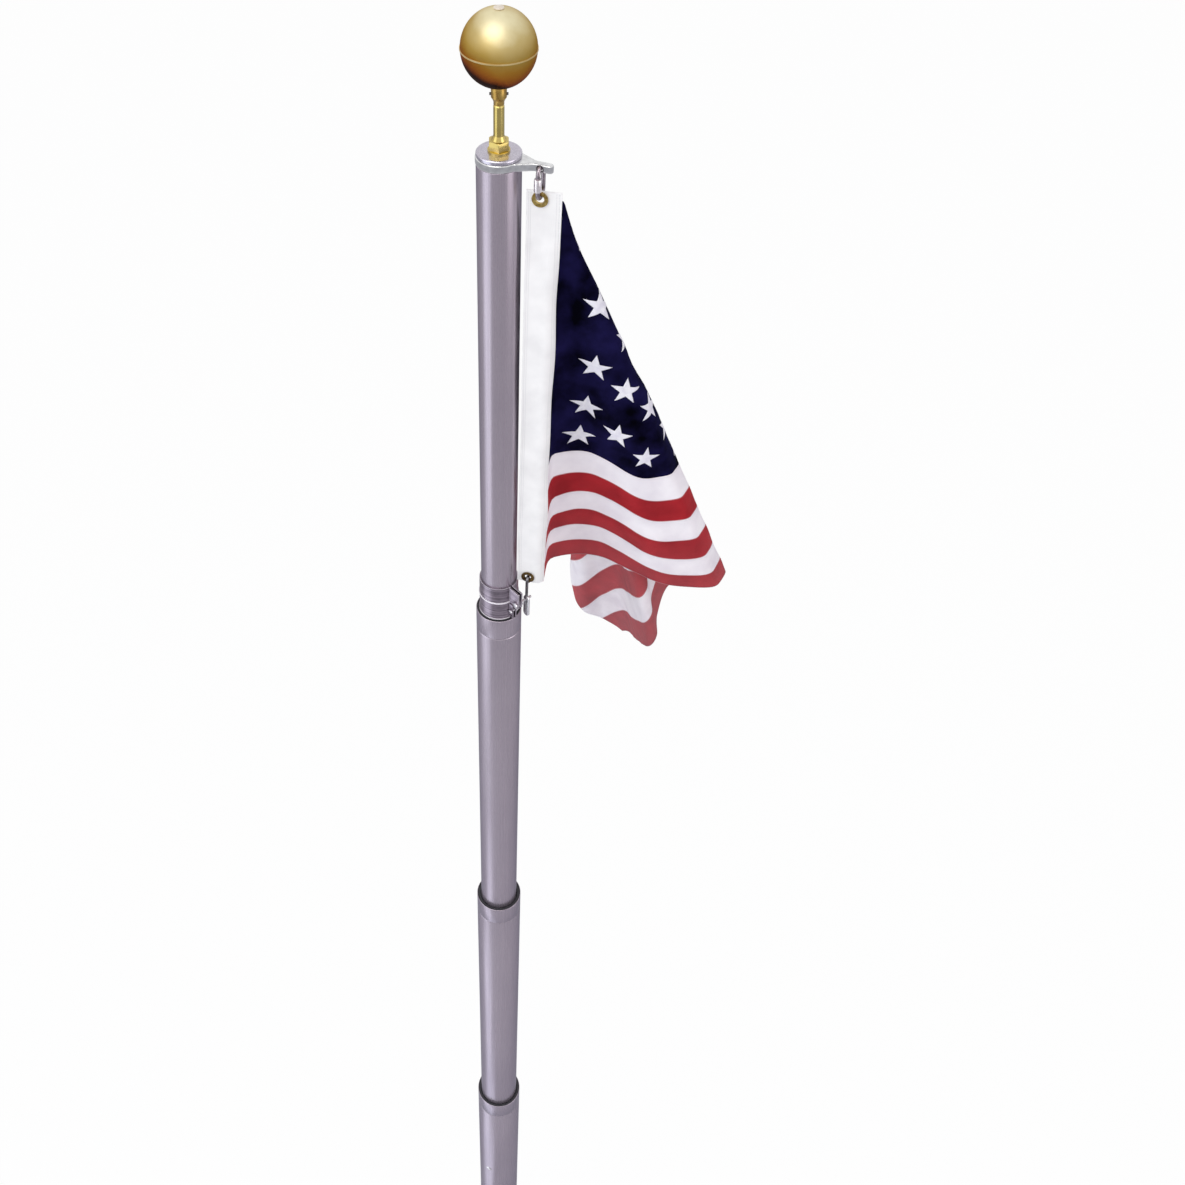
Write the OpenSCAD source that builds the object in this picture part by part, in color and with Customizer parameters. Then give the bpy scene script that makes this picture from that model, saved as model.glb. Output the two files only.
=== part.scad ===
// Telescoping flagpole: four nested tubes, a ball finial, a revolving truck with an arm and a
// quick link, a lower swivel band with a hook, and a small flag that hangs in folds between them.
// Millimetres, +Z up, origin at the centre of the foot. The flag hangs to +X, the front is -Y.

/* [Mast tubes] */
// Length of the lowest tube that stands outside
base_len = 1212; // [700:10:2400]
// Length of the third section that shows when it is drawn out
third_len = 888; // [500:10:1500]
// Length of the second section that shows when it is drawn out
second_len = 800; // [400:10:1400]
// Length of the top section that shows, up to the top of the truck cap
top_len = 718; // [690:1:1200]
// Length of each inner tube that stays inside the next one
overlap = 130; // [110:5:240]
// Outer diameter of the top tube
top_od = 50.8; // [38:0.1:64]
// Growth in diameter from one tube to the next
tube_step = 15.9; // [10:0.1:20]
// Wall of every tube
tube_wall = 1.7; // [1.2:0.1:2.4]

/* [Tube ends] */
// Drop of the second section's rolled groove below its rim
second_groove_drop = 39; // [30:1:60]
// Drop of the third section's rolled groove below its rim
third_groove_drop = 48; // [36:1:70]
// Drop of the lowest tube's rolled groove below its rim
base_groove_drop = 58; // [40:1:80]
// Width of a rolled groove
groove_w = 3; // [1:0.5:6]
// Depth of a rolled groove
groove_depth = 0.8; // [0.4:0.1:1]
// How far a bushing's face lies below its rim
bushing_recess = 1.5; // [0.5:0.5:4]
// Height of the guide ring on an inner tube's foot
guide_h = 30; // [20:1:50]
// Thickness of the foot plug's flange
plug_flange_t = 4; // [3:0.5:10]
// How far the foot plug's flange stands back from the tube's face
plug_inset = 0.5; // [0:0.1:1.5]
// Height of the foot plug's spigot inside the tube
plug_spigot_h = 36; // [20:1:60]

/* [Base screw] */
// Drop of the slotted screw below the lowest tube's rim
screw_drop = 410; // [300:5:600]
// Angle of the screw round the tube, from the front towards the left
screw_turn = 32; // [0:1:80]
// Diameter of the screw's head
screw_head_d = 16; // [10:0.5:20]
// Height of the screw's domed head
screw_head_h = 2.6; // [1.5:0.1:5]
// Diameter of the screw's shank
screw_shank_d = 6; // [4:0.5:8]

/* [Truck and arm] */
// Thickness of the truck cap's flange
cap_flange_t = 4.6; // [3:0.1:8]
// Rounding of the truck cap's rim
cap_round = 2.2; // [1:0.1:2.8]
// Diameter of the truck cap's neck, which the arm turns on
cap_neck_d = 32; // [20:1:34]
// Height of the turning ring
ring_h = 9; // [6:0.5:16]
// How far the turning ring stands out of the top tube
ring_stand = 0.8; // [0.2:0.1:4]
// Distance of the arm's eye from the top tube's face
arm_out = 23.4; // [22.6:0.2:50]
// Angle of the arm, from +X towards the front
arm_turn = 22; // [0:1:60]
// Width of the arm at its tip
arm_tip_w = 9; // [6:0.5:9]
// Width of the arm at the ring
arm_root_w = 27; // [16:0.5:36]
// Length of the arm's straight tip, inwards from its eye
arm_tip_len = 7; // [6:0.5:12]
// Metal between the arm's eye and its tip
arm_tip_edge = 11; // [2:0.1:14]
// Play of the link's wire in the arm's eye
arm_eye_play = 2.2; // [1.9:0.1:2.6]

/* [Quick link] */
// Diameter of the link's wire
link_wire_d = 5; // [3:0.5:6]
// Distance between the link's two limbs, centre to centre
link_w = 17; // [16:0.5:24]
// Height of the link between the wire's centres
link_h = 37; // [30:1:60]
// Height of the link's screw sleeve
sleeve_h = 15; // [8:0.5:20]
// Diameter of the link's screw sleeve
sleeve_d = 8.6; // [7:0.2:12]

/* [Finial] */
// Diameter of the ball
ball_d = 80; // [60:1:110]
// Wall of the ball's shells
ball_wall = 1.4; // [1:0.1:3]
// Height of the ball's centre over the truck cap
ball_rise = 112; // [95:1:160]
// Height and depth of the seam lip round the ball's middle
seam_h = 1.6; // [1:0.1:3]
// How far the seam lip stands out of the ball
seam_out = 0.7; // [0.3:0.1:1.5]
// Diameter of the small button on the ball
button_d = 11; // [6:0.5:16]
// Height of the small button
button_h = 2; // [1.5:0.5:6]
// Diameter of the stem
stem_d = 12; // [9:0.1:13]
// Diameter of the stem's flared foot
stem_foot_d = 16.5; // [14:0.1:17]
// Width of the hexagon nut across its corners
nut_corner_d = 24.5; // [20:0.5:27]
// Height of the hexagon nut
nut_h = 11; // [8:0.5:16]
// Thickness of the nut's washer
washer_t = 1.8; // [1:0.1:3]
// Diameter of the nut's washer
washer_d = 25; // [20:0.1:30]
// Outer diameter of the ferrule under the ball
ferrule_d = 17; // [15.5:0.1:22]
// Height of the ferrule below the ball
ferrule_h = 18; // [14:0.5:24]
// Diameter of the ferrule's two set screws
set_screw_d = 3; // [2:0.5:4]
// Height of the set screws as a share of the ferrule's
set_screw_share = 0.45; // [0.4:0.05:0.6]

/* [Lower band] */
// Height of the stop collar on the second section's rim
collar_h = 32; // [20:1:50]
// Height of the turning band
band_h = 30; // [20:1:34]
// Wall of the collar and the band
band_wall = 2.4; // [1.6:0.1:4]
// How far the lip on a ring's lower edge stands out
lip_out = 0.9; // [0.4:0.1:1.5]
// Height of that lip
lip_h = 2.4; // [1:0.1:4]
// Angle of the band's ears, from +X towards the front
ear_turn = 50; // [50:1:66]
// Metal of the ears beyond the middle of their bolt
ear_edge = 5; // [4:0.5:8]
// Height of the ears
ear_h = 28; // [16:1:40]
// Thickness of each ear
ear_t = 2.4; // [1.6:0.1:4]
// Gap between the two ears
ear_gap = 3.2; // [2:0.1:6]
// Diameter of the ears' bolt
bolt_d = 4; // [3:0.5:6]
// Height of the bolt over the band's lower edge
bolt_rise = 6; // [6:0.5:12]
// How far the stop collar's ears stand out
collar_ear_out = 7; // [5:0.5:12]
// Height of the stop collar's ears
collar_ear_h = 28; // [16:1:48]
// Height of the tab that hangs on the bolt
tab_h = 40; // [30:1:60]
// Width of the tab
tab_w = 11; // [9:0.5:16]
// Thickness of the tab
tab_t = 3; // [2:0.1:5]
// Diameter of the hook's rod
hook_d = 4.2; // [3:0.1:5]
// Distance of the hook's legs from the header's middle
hook_r = 5; // [4.5:0.1:8]

/* [Flag] */
// Height of the flag, along the hoist
flag_h = 612; // [560:4:700]
// Length of the flag, from the hoist to the fly
flag_w = 914; // [700:2:1200]
// Width of the canvas header
header_w = 40; // [36:1:44]
// Thickness of the canvas header
header_t = 1.6; // [1:0.1:3]
// Turn of the header, from +X towards the front
header_turn = 14; // [0:1:40]
// Lean of the header's foot towards the mast, in degrees
header_lean = 0.4; // [0:0.1:0.6]
// Distance of a grommet's centre from the header's end
grommet_inset = 10; // [9.5:0.5:20]
// How far the grommets sit off the header's middle, towards the mast
grommet_side = 4.5; // [0:0.5:8]
// Outer diameter of a grommet
grommet_d = 18.7; // [16:0.1:19]
// Bore of a grommet
grommet_bore = 10; // [8.5:0.1:11]
// Thickness of a grommet over both of its flanges
grommet_t = 3.4; // [2.6:0.1:4]
// Thickness of the folded cloth
cloth_t = 1.2; // [0.8:0.1:2]

/* [Clearances] */
// Radial gap between a sliding tube and what guides it
slide_gap = 0.3; // [0.2:0.05:0.6]
// Radial gap of the parts that turn round the mast
turn_gap = 0.3; // [0.2:0.05:0.6]
// Radial gap of parts that are pressed or screwed together
seat_gap = 0.05; // [0.02:0.01:0.15]
// Vertical gap between turning parts
face_gap = 0.3; // [0.1:0.05:0.6]

/* [Hidden] */
$fn = 96;
eps = 0.5;

second_od = top_od + tube_step;
third_od = second_od + tube_step;
base_od = third_od + tube_step;

// Heights of the four rims
base_rim = base_len;
third_rim = base_rim + third_len;
second_rim = third_rim + second_len;
cap_top = second_rim + top_len;

ring_od = top_od + 2 * ring_stand;
arm_reach = top_od / 2 + arm_out;
ring_z = cap_top - cap_flange_t - face_gap - ring_h;
top_rim = ring_z - face_gap;

third_foot = base_rim - overlap;
second_foot = third_rim - overlap;
top_foot = second_rim - overlap;

// The finial's heights
washer_z = cap_top;
nut_z = washer_z + washer_t;
stem_foot_z = nut_z + nut_h;
ball_z = cap_top + ball_rise;
ball_r = ball_d / 2;
ferrule_top_z = ball_z - sqrt(pow(ball_r, 2) - pow(ferrule_d / 2, 2)) + eps;
ferrule_z = ferrule_top_z - ferrule_h;

// The arm's eye, the link and the upper grommet hang below each other
arm_eye_z = ring_z + ring_h / 2;
// The link's round end rests on the far edges of a bore, so its crown stands higher
link_inner_r = (link_w - link_wire_d) / 2;
arm_eye_d = link_wire_d + arm_eye_play;
function crown_rise(width) = link_inner_r - sqrt(pow(link_inner_r, 2) - pow(width / 2, 2));
hang_gap = 0.15;
link_top_z = arm_eye_z - arm_eye_d / 2 + crown_rise(arm_tip_w) + link_wire_d / 2 + hang_gap;
link_foot_z = link_top_z - link_h;
grommet_z = link_foot_z - (grommet_bore - link_wire_d) / 2 + crown_rise(grommet_t) + hang_gap;
arm_dir = [cos(arm_turn), -sin(arm_turn), 0];
upper_grommet = [arm_reach * arm_dir[0], arm_reach * arm_dir[1], grommet_z];

// The lower band stands on the stop collar, which stands on the second section's rim
collar_z = second_rim + face_gap;
band_z = collar_z + collar_h + face_gap;
band_in_r = top_od / 2 + turn_gap;
band_r = band_in_r + band_wall;
bolt_z = band_z + bolt_rise;
ear_dir = [cos(ear_turn), -sin(ear_turn), 0];
across_dir = [sin(ear_turn), cos(ear_turn), 0];

// Header: points in its own frame are measured from the upper grommet, [along its width, through it, up]
function turned_x(p, a) = [p[0], p[1] * cos(a) - p[2] * sin(a), p[1] * sin(a) + p[2] * cos(a)];
function turned_y(p, a) = [p[0] * cos(a) + p[2] * sin(a), p[1], p[2] * cos(a) - p[0] * sin(a)];
function turned_z(p, a) = [p[0] * cos(a) - p[1] * sin(a), p[0] * sin(a) + p[1] * cos(a), p[2]];
function on_header(p) = upper_grommet + turned_z(turned_y(p, header_lean), -header_turn);
grommet_span = flag_h - 2 * grommet_inset;
lower_grommet = on_header([0, 0, -grommet_span]);

// The bolt passes straight under the foot of the lower grommet's hook, and the tab hangs on it
hook_foot = on_header([0, -hook_r, -grommet_span]);
bolt_out = hook_foot * ear_dir;
ear_out = bolt_out + ear_edge - band_r;
tab_at = hook_foot * across_dir;
bolt_end = tab_at + tab_t / 2 + 6;
bolt_head_at = -(ear_gap / 2 + ear_t);

// Directions of the cloth's rulings, each [degrees to the side, degrees back] from straight down.
// They fan out from the header's top corner: the front panel, a fold, the back layer, the fly end.
fold_path = [
    [-0.6, 1.3], [0.3, 4.8], [2.1, 5.6], [4.8, 5.9], [7.4, 5.7], [9.7, 4.6], [11.8, 3.4],
    [13.6, 2.5], [15.7, 2.0], [18.3, 1.9], [20.8, 2.1], [22.0, 3.4], [22.7, 5.9], [21.0, 7.3],
    [18.4, 8.8], [14.9, 10.1], [12.9, 8.0], [12.5, 6.2], [11.3, 6.0], [10.1, 9.9], [9.1, 14.6],
    [7.0, 16.0], [4.8, 16.4], [3.9, 18.0], [3.8, 20.8], [5.6, 23.6], [9.0, 25.0], [11.8, 26.8],
    [12.2, 29.8], [9.8, 32.0], [8.0, 34.6], [9.4, 38.0], [13.0, 39.6]
];
fold_steps = 3;
cloth_from_r = 45;
field_w = flag_w - header_w;
cloth_gap = 0.6;
cloth_apex = on_header([header_w / 2 + grommet_side + cloth_gap, 0, grommet_inset]);

function fold_knot(i) = fold_path[min(max(i, 0), len(fold_path) - 1)];
function fold_blend(a, b, c, d, t) =
    (2 * b + (c - a) * t + (2 * a - 5 * b + 4 * c - d) * t * t + (3 * b - a - 3 * c + d) * t * t * t) / 2;
function fold_at(i, t) =
    fold_blend(fold_knot(i - 1), fold_knot(i), fold_knot(i + 1), fold_knot(i + 2), t);
function ruling(sb) = let (v = [tan(sb[0]), tan(sb[1]), -1]) v / norm(v);
rulings = [
    for (i = [0:len(fold_path) - 2], k = [0:fold_steps - 1]) ruling(fold_at(i, k / fold_steps)),
    ruling(fold_path[len(fold_path) - 1])
];
ruling_count = len(rulings);
// Angle of each ruling in the flat cloth, from the hoist: the folded fan keeps its arc length
arcs = [for (i = 0, a = 0; i < ruling_count;
    a = a + (i + 1 < ruling_count ? acos(min(1, rulings[i] * rulings[i + 1])) : 0), i = i + 1) a];
flat_angles = [for (a = arcs) 90 * a / arcs[ruling_count - 1]];
function cloth_reach(a) = min(flag_h / max(cos(a), 0.001), field_w / max(sin(a), 0.001));
function ruling_normal(i) = let (
    a = rulings[max(i - 1, 0)],
    b = rulings[min(i + 1, ruling_count - 1)],
    n = cross(b - a, rulings[i])
) n / norm(n);

// ---- Shapes that repeat -----------------------------------------------------------------

module ring(outer_r, inner_r, h) {
    difference() {
        cylinder(r = outer_r, h = h);
        translate([0, 0, -eps]) cylinder(r = inner_r, h = h + 2 * eps);
    }
}

// A tube from foot to rim, with a rolled groove below its rim where one is asked for
module mast_tube(od, foot, rim, groove_drop) {
    difference() {
        translate([0, 0, foot]) ring(od / 2, od / 2 - tube_wall, rim - foot);
        if (groove_drop > 0)
            translate([0, 0, rim - groove_drop - groove_w / 2])
                ring(od, od / 2 - groove_depth, groove_w);
    }
}

// The dark insert in a rim, with a flared mouth that the inner tube runs in
module rim_bushing(outer_od, inner_od, rim, groove_drop) {
    bore = inner_od / 2 + slide_gap;
    out = outer_od / 2 - tube_wall - seat_gap;
    h = groove_drop - bushing_recess - groove_w;
    flare = min(1.6, (out - bore) / 2);
    translate([0, 0, rim - bushing_recess - h])
        rotate_extrude() polygon([
            [bore, 0], [out, 0], [out, h], [bore + flare, h], [bore, h - flare]
        ]);
}

// The ring on an inner tube's foot, with a lip under the tube's wall
module foot_guide(outer_od, inner_od, foot) {
    out = outer_od / 2 - tube_wall - slide_gap;
    bore = inner_od / 2 + seat_gap;
    lip_bore = inner_od / 2 - tube_wall;
    lip_t = 5;
    translate([0, 0, foot - lip_t])
        rotate_extrude() polygon([
            [lip_bore, 0], [out - 1, 0], [out, 1], [out, guide_h], [bore, guide_h],
            [bore, lip_t], [lip_bore, lip_t]
        ]);
}

module at_header() {
    translate(upper_grommet) rotate([0, 0, -header_turn]) rotate([0, header_lean, 0]) children();
}

module eyelet() {
    barrel_r = grommet_bore / 2 + 1;
    flange_t = (grommet_t - header_t) / 2 - seat_gap;
    rotate([90, 0, 0]) {
        translate([0, 0, -grommet_t / 2]) ring(barrel_r, grommet_bore / 2, grommet_t);
        for (side = [0, 1]) mirror([0, 0, side])
            translate([0, 0, grommet_t / 2 - flange_t]) ring(grommet_d / 2, barrel_r - eps / 2, flange_t);
    }
}

module clamp_ring(z, h, out_len, tall, gap) {
    translate([0, 0, z]) difference() {
        union() {
            cylinder(r = band_r, h = h);
            cylinder(r = band_r + lip_out, h = lip_h);
            rotate([0, 0, -ear_turn])
                translate([band_in_r + band_wall / 2, -gap / 2 - ear_t, (h - tall) / 2])
                    cube([out_len + band_wall / 2, gap + 2 * ear_t, tall]);
        }
        translate([0, 0, -eps]) cylinder(r = band_in_r, h = h + 2 * eps);
        rotate([0, 0, -ear_turn])
            translate([0, -gap / 2, -eps]) cube([band_r + out_len + eps, gap, h + 2 * eps]);
    }
}

// ---- Lowest section -----------------------------------------------------------------------

module base_plug() {
    color("dimgray") {
        cylinder(r = base_od / 2 - plug_inset, h = plug_flange_t);
        cylinder(r = base_od / 2 - tube_wall - seat_gap, h = plug_flange_t + plug_spigot_h);
    }
}

module base_tube() {
    color("silver") difference() {
        mast_tube(base_od, plug_flange_t, base_rim, base_groove_drop);
        base_screw_axis() translate([0, 0, base_od / 2 - 2 * tube_wall])
            cylinder(d = screw_shank_d + 2 * seat_gap, h = 3 * tube_wall);
    }
}

module base_screw_axis() {
    translate([0, 0, base_rim - screw_drop]) rotate([0, 0, -90 - screw_turn]) rotate([0, 90, 0])
        children();
}

module base_screw() {
    head_base = base_od / 2 - 1.2;
    dome_r = (pow(screw_head_d / 2, 2) + pow(screw_head_h, 2)) / (2 * screw_head_h);
    color("gray") difference() {
        base_screw_axis() difference() {
            union() {
                translate([0, 0, base_od / 2 - tube_wall])
                    cylinder(d = screw_shank_d, h = tube_wall + 1);
                translate([0, 0, head_base]) cylinder(d = screw_head_d, h = 1.4);
                translate([0, 0, head_base + 1.4]) intersection() {
                    cylinder(d = screw_head_d, h = screw_head_h);
                    translate([0, 0, screw_head_h - dome_r]) sphere(r = dome_r);
                }
            }
            translate([0, 0, head_base + 1.4 + screw_head_h]) rotate([0, 0, 35])
                cube([screw_head_d * 2, 2, 2.6], center = true);
        }
        translate([0, 0, base_rim - screw_drop - screw_head_d]) difference() {
            cylinder(r = base_od / 2 + seat_gap / 2, h = 2 * screw_head_d);
            base_screw_hole_core();
        }
    }
}

// The part of the tube's wall that the screw's shank fills
module base_screw_hole_core() {
    translate([0, 0, screw_head_d]) rotate([0, 0, -90 - screw_turn]) rotate([0, 90, 0])
        translate([0, 0, base_od / 2 - 2 * tube_wall])
            cylinder(d = screw_shank_d + seat_gap, h = 4 * tube_wall);
}

module base_bushing() {
    color("#222228") rim_bushing(base_od, third_od, base_rim, base_groove_drop);
}

// ---- Third and second sections --------------------------------------------------------------

module third_tube() {
    color("silver") mast_tube(third_od, third_foot, third_rim, third_groove_drop);
}

module third_bushing() {
    color("#222228") rim_bushing(third_od, second_od, third_rim, third_groove_drop);
}

module third_guide() {
    color("#222228") foot_guide(base_od, third_od, third_foot);
}

module second_tube() {
    color("silver") mast_tube(second_od, second_foot, second_rim, second_groove_drop);
}

module second_bushing() {
    color("#222228") rim_bushing(second_od, top_od, second_rim, second_groove_drop);
}

module second_guide() {
    color("#222228") foot_guide(third_od, second_od, second_foot);
}

module stop_collar() {
    color("gray") difference() {
        clamp_ring(collar_z, collar_h, collar_ear_out, collar_ear_h, ear_gap);
        collar_bolt_axis() cylinder(d = 4 + 2 * seat_gap, h = 40, center = true);
    }
}

module collar_bolt_axis() {
    along = (band_r + collar_ear_out * 0.55) * ear_dir;
    translate([along[0], along[1], collar_z + collar_h / 2])
        rotate([0, 0, 90 - ear_turn]) rotate([0, 90, 0]) children();
}

module collar_bolt() {
    half = ear_gap / 2 + ear_t;
    color("gray") collar_bolt_axis() {
        translate([0, 0, -half - 1]) cylinder(d = 4, h = 2 * half + 2);
        translate([0, 0, -half - 2.5]) cylinder(d = 6.5, h = 2.5 - seat_gap);
        translate([0, 0, half + seat_gap]) cylinder(d = 7, h = 2.5, $fn = 6);
    }
}

// ---- Top section and finial -------------------------------------------------------------------

module top_tube() {
    color("silver") mast_tube(top_od, top_foot, top_rim, 0);
}

module top_guide() {
    color("#222228") foot_guide(second_od, top_od, top_foot);
}

module truck_cap() {
    flange_z = cap_top - cap_flange_t;
    flange_r = top_od / 2;
    plug_r = top_od / 2 - tube_wall - seat_gap;
    plug_h = 34;
    socket_h = 20;
    color("silver") difference() {
        union() {
            translate([0, 0, flange_z]) cylinder(r = flange_r, h = cap_flange_t - cap_round);
            translate([0, 0, flange_z]) cylinder(r = flange_r - cap_round, h = cap_flange_t);
            translate([0, 0, cap_top - cap_round])
                rotate_extrude() translate([flange_r - cap_round, 0]) circle(r = cap_round);
            translate([0, 0, top_rim - 1]) cylinder(d = cap_neck_d, h = flange_z - top_rim + 2);
            translate([0, 0, top_rim - plug_h]) cylinder(r = plug_r, h = plug_h);
        }
        translate([0, 0, cap_top - socket_h])
            cylinder(r = stem_d / 2 + seat_gap, h = socket_h + eps);
    }
}

module nut_washer() {
    color("gold") translate([0, 0, washer_z]) ring(washer_d / 2, stem_d / 2 + seat_gap, washer_t);
}

module finial_nut() {
    color("gold") translate([0, 0, nut_z]) difference() {
        intersection() {
            rotate([0, 0, 30]) cylinder(d = nut_corner_d, h = nut_h, $fn = 6);
            cylinder(r1 = nut_corner_d / 2 + nut_h, r2 = nut_corner_d / 2 - 0.9, h = nut_h);
        }
        translate([0, 0, -eps]) cylinder(r = stem_d / 2 + seat_gap, h = nut_h + 2 * eps);
    }
}

module finial_stem() {
    flare_h = 5;
    stem_r = stem_d / 2;
    stem_top = ferrule_top_z - 3;
    color("gold") translate([0, 0, cap_top - 18]) rotate_extrude() polygon([
        [0, 0], [stem_r, 0],
        [stem_r, stem_foot_z - cap_top + 18],
        [stem_foot_d / 2, stem_foot_z - cap_top + 18],
        [stem_r, stem_foot_z - cap_top + 18 + flare_h],
        [stem_r, ferrule_z - 5 - cap_top + 18],
        [stem_r - 0.8, ferrule_z - 3.6 - cap_top + 18],
        [stem_r - 0.8, stem_top - cap_top + 18], [0, stem_top - cap_top + 18]
    ]);
}

module ball_ferrule() {
    bore_r = stem_d / 2 - 0.8 + seat_gap;
    neck_r = stem_d / 2 - 0.2;
    color("goldenrod") difference() {
        translate([0, 0, ferrule_z]) rotate_extrude() polygon([
            [bore_r, -3], [neck_r, -3], [neck_r, 0], [ferrule_d / 2 - 1.4, 3],
            [ferrule_d / 2, 5], [ferrule_d / 2, ferrule_h + 3], [bore_r, ferrule_h + 3]
        ]);
        translate([0, 0, ball_z]) sphere(r = ball_r + seat_gap);
        set_screw_axis() cylinder(d = set_screw_d + 2 * seat_gap, h = 60, center = true);
    }
}

module set_screw_axis() {
    translate([0, 0, ferrule_z + ferrule_h * set_screw_share]) rotate([0, 90, 0]) children();
}

module set_screw(side) {
    inner = stem_d / 2 - 0.8 + seat_gap;
    color("darkgoldenrod") mirror([side, 0, 0]) set_screw_axis()
        translate([0, 0, inner]) cylinder(d = set_screw_d, h = ferrule_d / 2 + 1.6 - inner);
}

module half_ball(up) {
    gap = seat_gap / 2;
    color("gold") translate([0, 0, ball_z]) mirror([0, 0, up ? 0 : 1]) difference() {
        sphere(r = ball_r);
        sphere(r = ball_r - ball_wall);
        translate([0, 0, gap - ball_d]) cube(2 * ball_d, center = true);
        if (!up) cylinder(r = stem_d / 2, h = ball_d);
    }
}

module ball_lower() { half_ball(false); }

module ball_upper() {
    color("gold") difference() {
        half_ball(true);
        translate([0, 0, ball_z]) cylinder(d = 4 + 2 * seat_gap, h = ball_d);
    }
}

// A thin lip round the ball's middle, let into neither shell
module ball_seam() {
    color("gold") translate([0, 0, ball_z - seam_h / 2])
        ring(ball_r + seam_out, ball_r + seat_gap, seam_h);
}

module ball_button() {
    color("beige") translate([0, 0, ball_z]) difference() {
        union() {
            cylinder(d = 4, h = ball_r + 1);
            translate([0, 0, ball_r - 0.8]) cylinder(d = button_d, h = button_h);
        }
        difference() {
            sphere(r = ball_r + seat_gap);
            translate([0, 0, ball_r - 5]) cylinder(d = 4, h = 10);
        }
        cylinder(d = 6, h = ball_r - 4);
    }
}

// ---- Truck arm, link and the flag's top ---------------------------------------------------------

module truck_arm() {
    tip_r = arm_tip_w / 2;
    tip_at = arm_reach + arm_eye_d / 2 + arm_tip_edge - tip_r;
    taper_end = arm_reach - arm_tip_len;
    root_in = cap_neck_d / 2 + 2;
    root_out = ring_od / 2 - 2;
    color("lightgray") difference() {
        translate([0, 0, ring_z]) union() {
            cylinder(d = ring_od, h = ring_h);
            rotate([0, 0, -arm_turn]) {
                linear_extrude(ring_h) polygon([
                    [root_in, -arm_root_w / 2], [root_out, -arm_root_w / 2],
                    [taper_end, -tip_r], [tip_at, -tip_r], [tip_at, tip_r], [taper_end, tip_r],
                    [root_out, arm_root_w / 2], [root_in, arm_root_w / 2]
                ]);
                translate([tip_at, 0, 0]) cylinder(r = tip_r, h = ring_h);
            }
        }
        translate([0, 0, ring_z - eps]) cylinder(d = cap_neck_d + 2 * turn_gap, h = ring_h + 2 * eps);
        translate([0, 0, arm_eye_z]) rotate([0, 0, -arm_turn]) translate([arm_reach, 0, 0])
            rotate([90, 0, 0]) cylinder(d = arm_eye_d, h = 2 * arm_tip_w, center = true);
    }
}

// Frame of the link: X across its two limbs, Z up its length
module at_link() {
    translate([upper_grommet[0], upper_grommet[1], 0]) rotate([0, 0, -arm_turn - 90]) children();
}

module quick_link() {
    bend_r = link_w / 2;
    wire_r = link_wire_d / 2;
    straight = link_h - link_w;
    color("#8a7f8c") at_link() {
        for (side = [-1, 1]) translate([side * bend_r, 0, link_foot_z + bend_r])
            cylinder(r = wire_r, h = straight);
        for (end = [0, 1])
            translate([0, 0, end == 0 ? link_foot_z + bend_r : link_top_z - bend_r])
                rotate([90, 0, 0]) rotate([0, 0, end == 0 ? 180 : 0])
                    rotate_extrude(angle = 180) translate([bend_r, 0]) circle(r = wire_r);
    }
}

module link_sleeve() {
    mid_z = (link_top_z + link_foot_z) / 2;
    color("#d9d3da") at_link() translate([link_w / 2, 0, mid_z - sleeve_h / 2])
        difference() {
            cylinder(d = sleeve_d, h = sleeve_h);
            translate([0, 0, -eps]) cylinder(r = link_wire_d / 2 + seat_gap, h = sleeve_h + 2 * eps);
        }
}

module upper_grommet() {
    color("goldenrod") at_header() eyelet();
}

module lower_grommet() {
    color("goldenrod") at_header() translate([0, 0, -grommet_span]) eyelet();
}

module flag_header() {
    hole_r = grommet_bore / 2 + 1 + seat_gap;
    color("ivory") at_header() difference() {
        translate([grommet_side - header_w / 2, -header_t / 2, grommet_inset - flag_h])
            cube([header_w, header_t, flag_h]);
        for (drop = [0, grommet_span]) translate([0, 0, -drop]) rotate([90, 0, 0])
            cylinder(r = hole_r, h = 4 * header_t, center = true);
    }
}

// The cloth as one thin closed sheet: near and far ends of each ruling, on both faces
module flag_field() {
    sheet_points = [
        for (i = [0:ruling_count - 1], face = [-0.5, 0.5], far = [0, 1])
            cloth_apex + rulings[i] * (far == 1 ? cloth_reach(flat_angles[i]) : cloth_from_r)
                + ruling_normal(i) * face * cloth_t
    ];
    last = 4 * (ruling_count - 1);
    sheet_faces = [
        for (i = [0:ruling_count - 2], f = [
            [0, 1, 5, 4], [2, 6, 7, 3], [0, 4, 6, 2], [1, 3, 7, 5]
        ]) [for (v = f) 4 * i + v],
        [0, 2, 3, 1],
        [last, last + 1, last + 3, last + 2]
    ];
    color("firebrick") polyhedron(sheet_points, sheet_faces, convexity = 10);
}

// ---- Lower band, hook and tab --------------------------------------------------------------------

module bolt_axis() {
    translate([bolt_out * ear_dir[0], bolt_out * ear_dir[1], bolt_z])
        rotate([0, 0, 90 - ear_turn]) rotate([0, 90, 0])
        children();
}

module swivel_band() {
    color("gray") difference() {
        clamp_ring(band_z, band_h, ear_out, ear_h, ear_gap);
        bolt_axis() cylinder(r = bolt_d / 2 + seat_gap, h = 40, center = true);
    }
}

module band_bolt() {
    color("gainsboro") bolt_axis() {
        translate([0, 0, bolt_head_at - 1]) cylinder(d = bolt_d, h = bolt_end + 1 - bolt_head_at);
        translate([0, 0, bolt_head_at - 3]) cylinder(d = 9, h = 3 - seat_gap);
    }
}

module band_nut() {
    color("gainsboro") bolt_axis() translate([0, 0, ear_gap / 2 + ear_t + seat_gap]) difference() {
        cylinder(d = 9.2, h = 4, $fn = 6);
        translate([0, 0, -eps]) cylinder(r = bolt_d / 2 + seat_gap, h = 5);
    }
}

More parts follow.
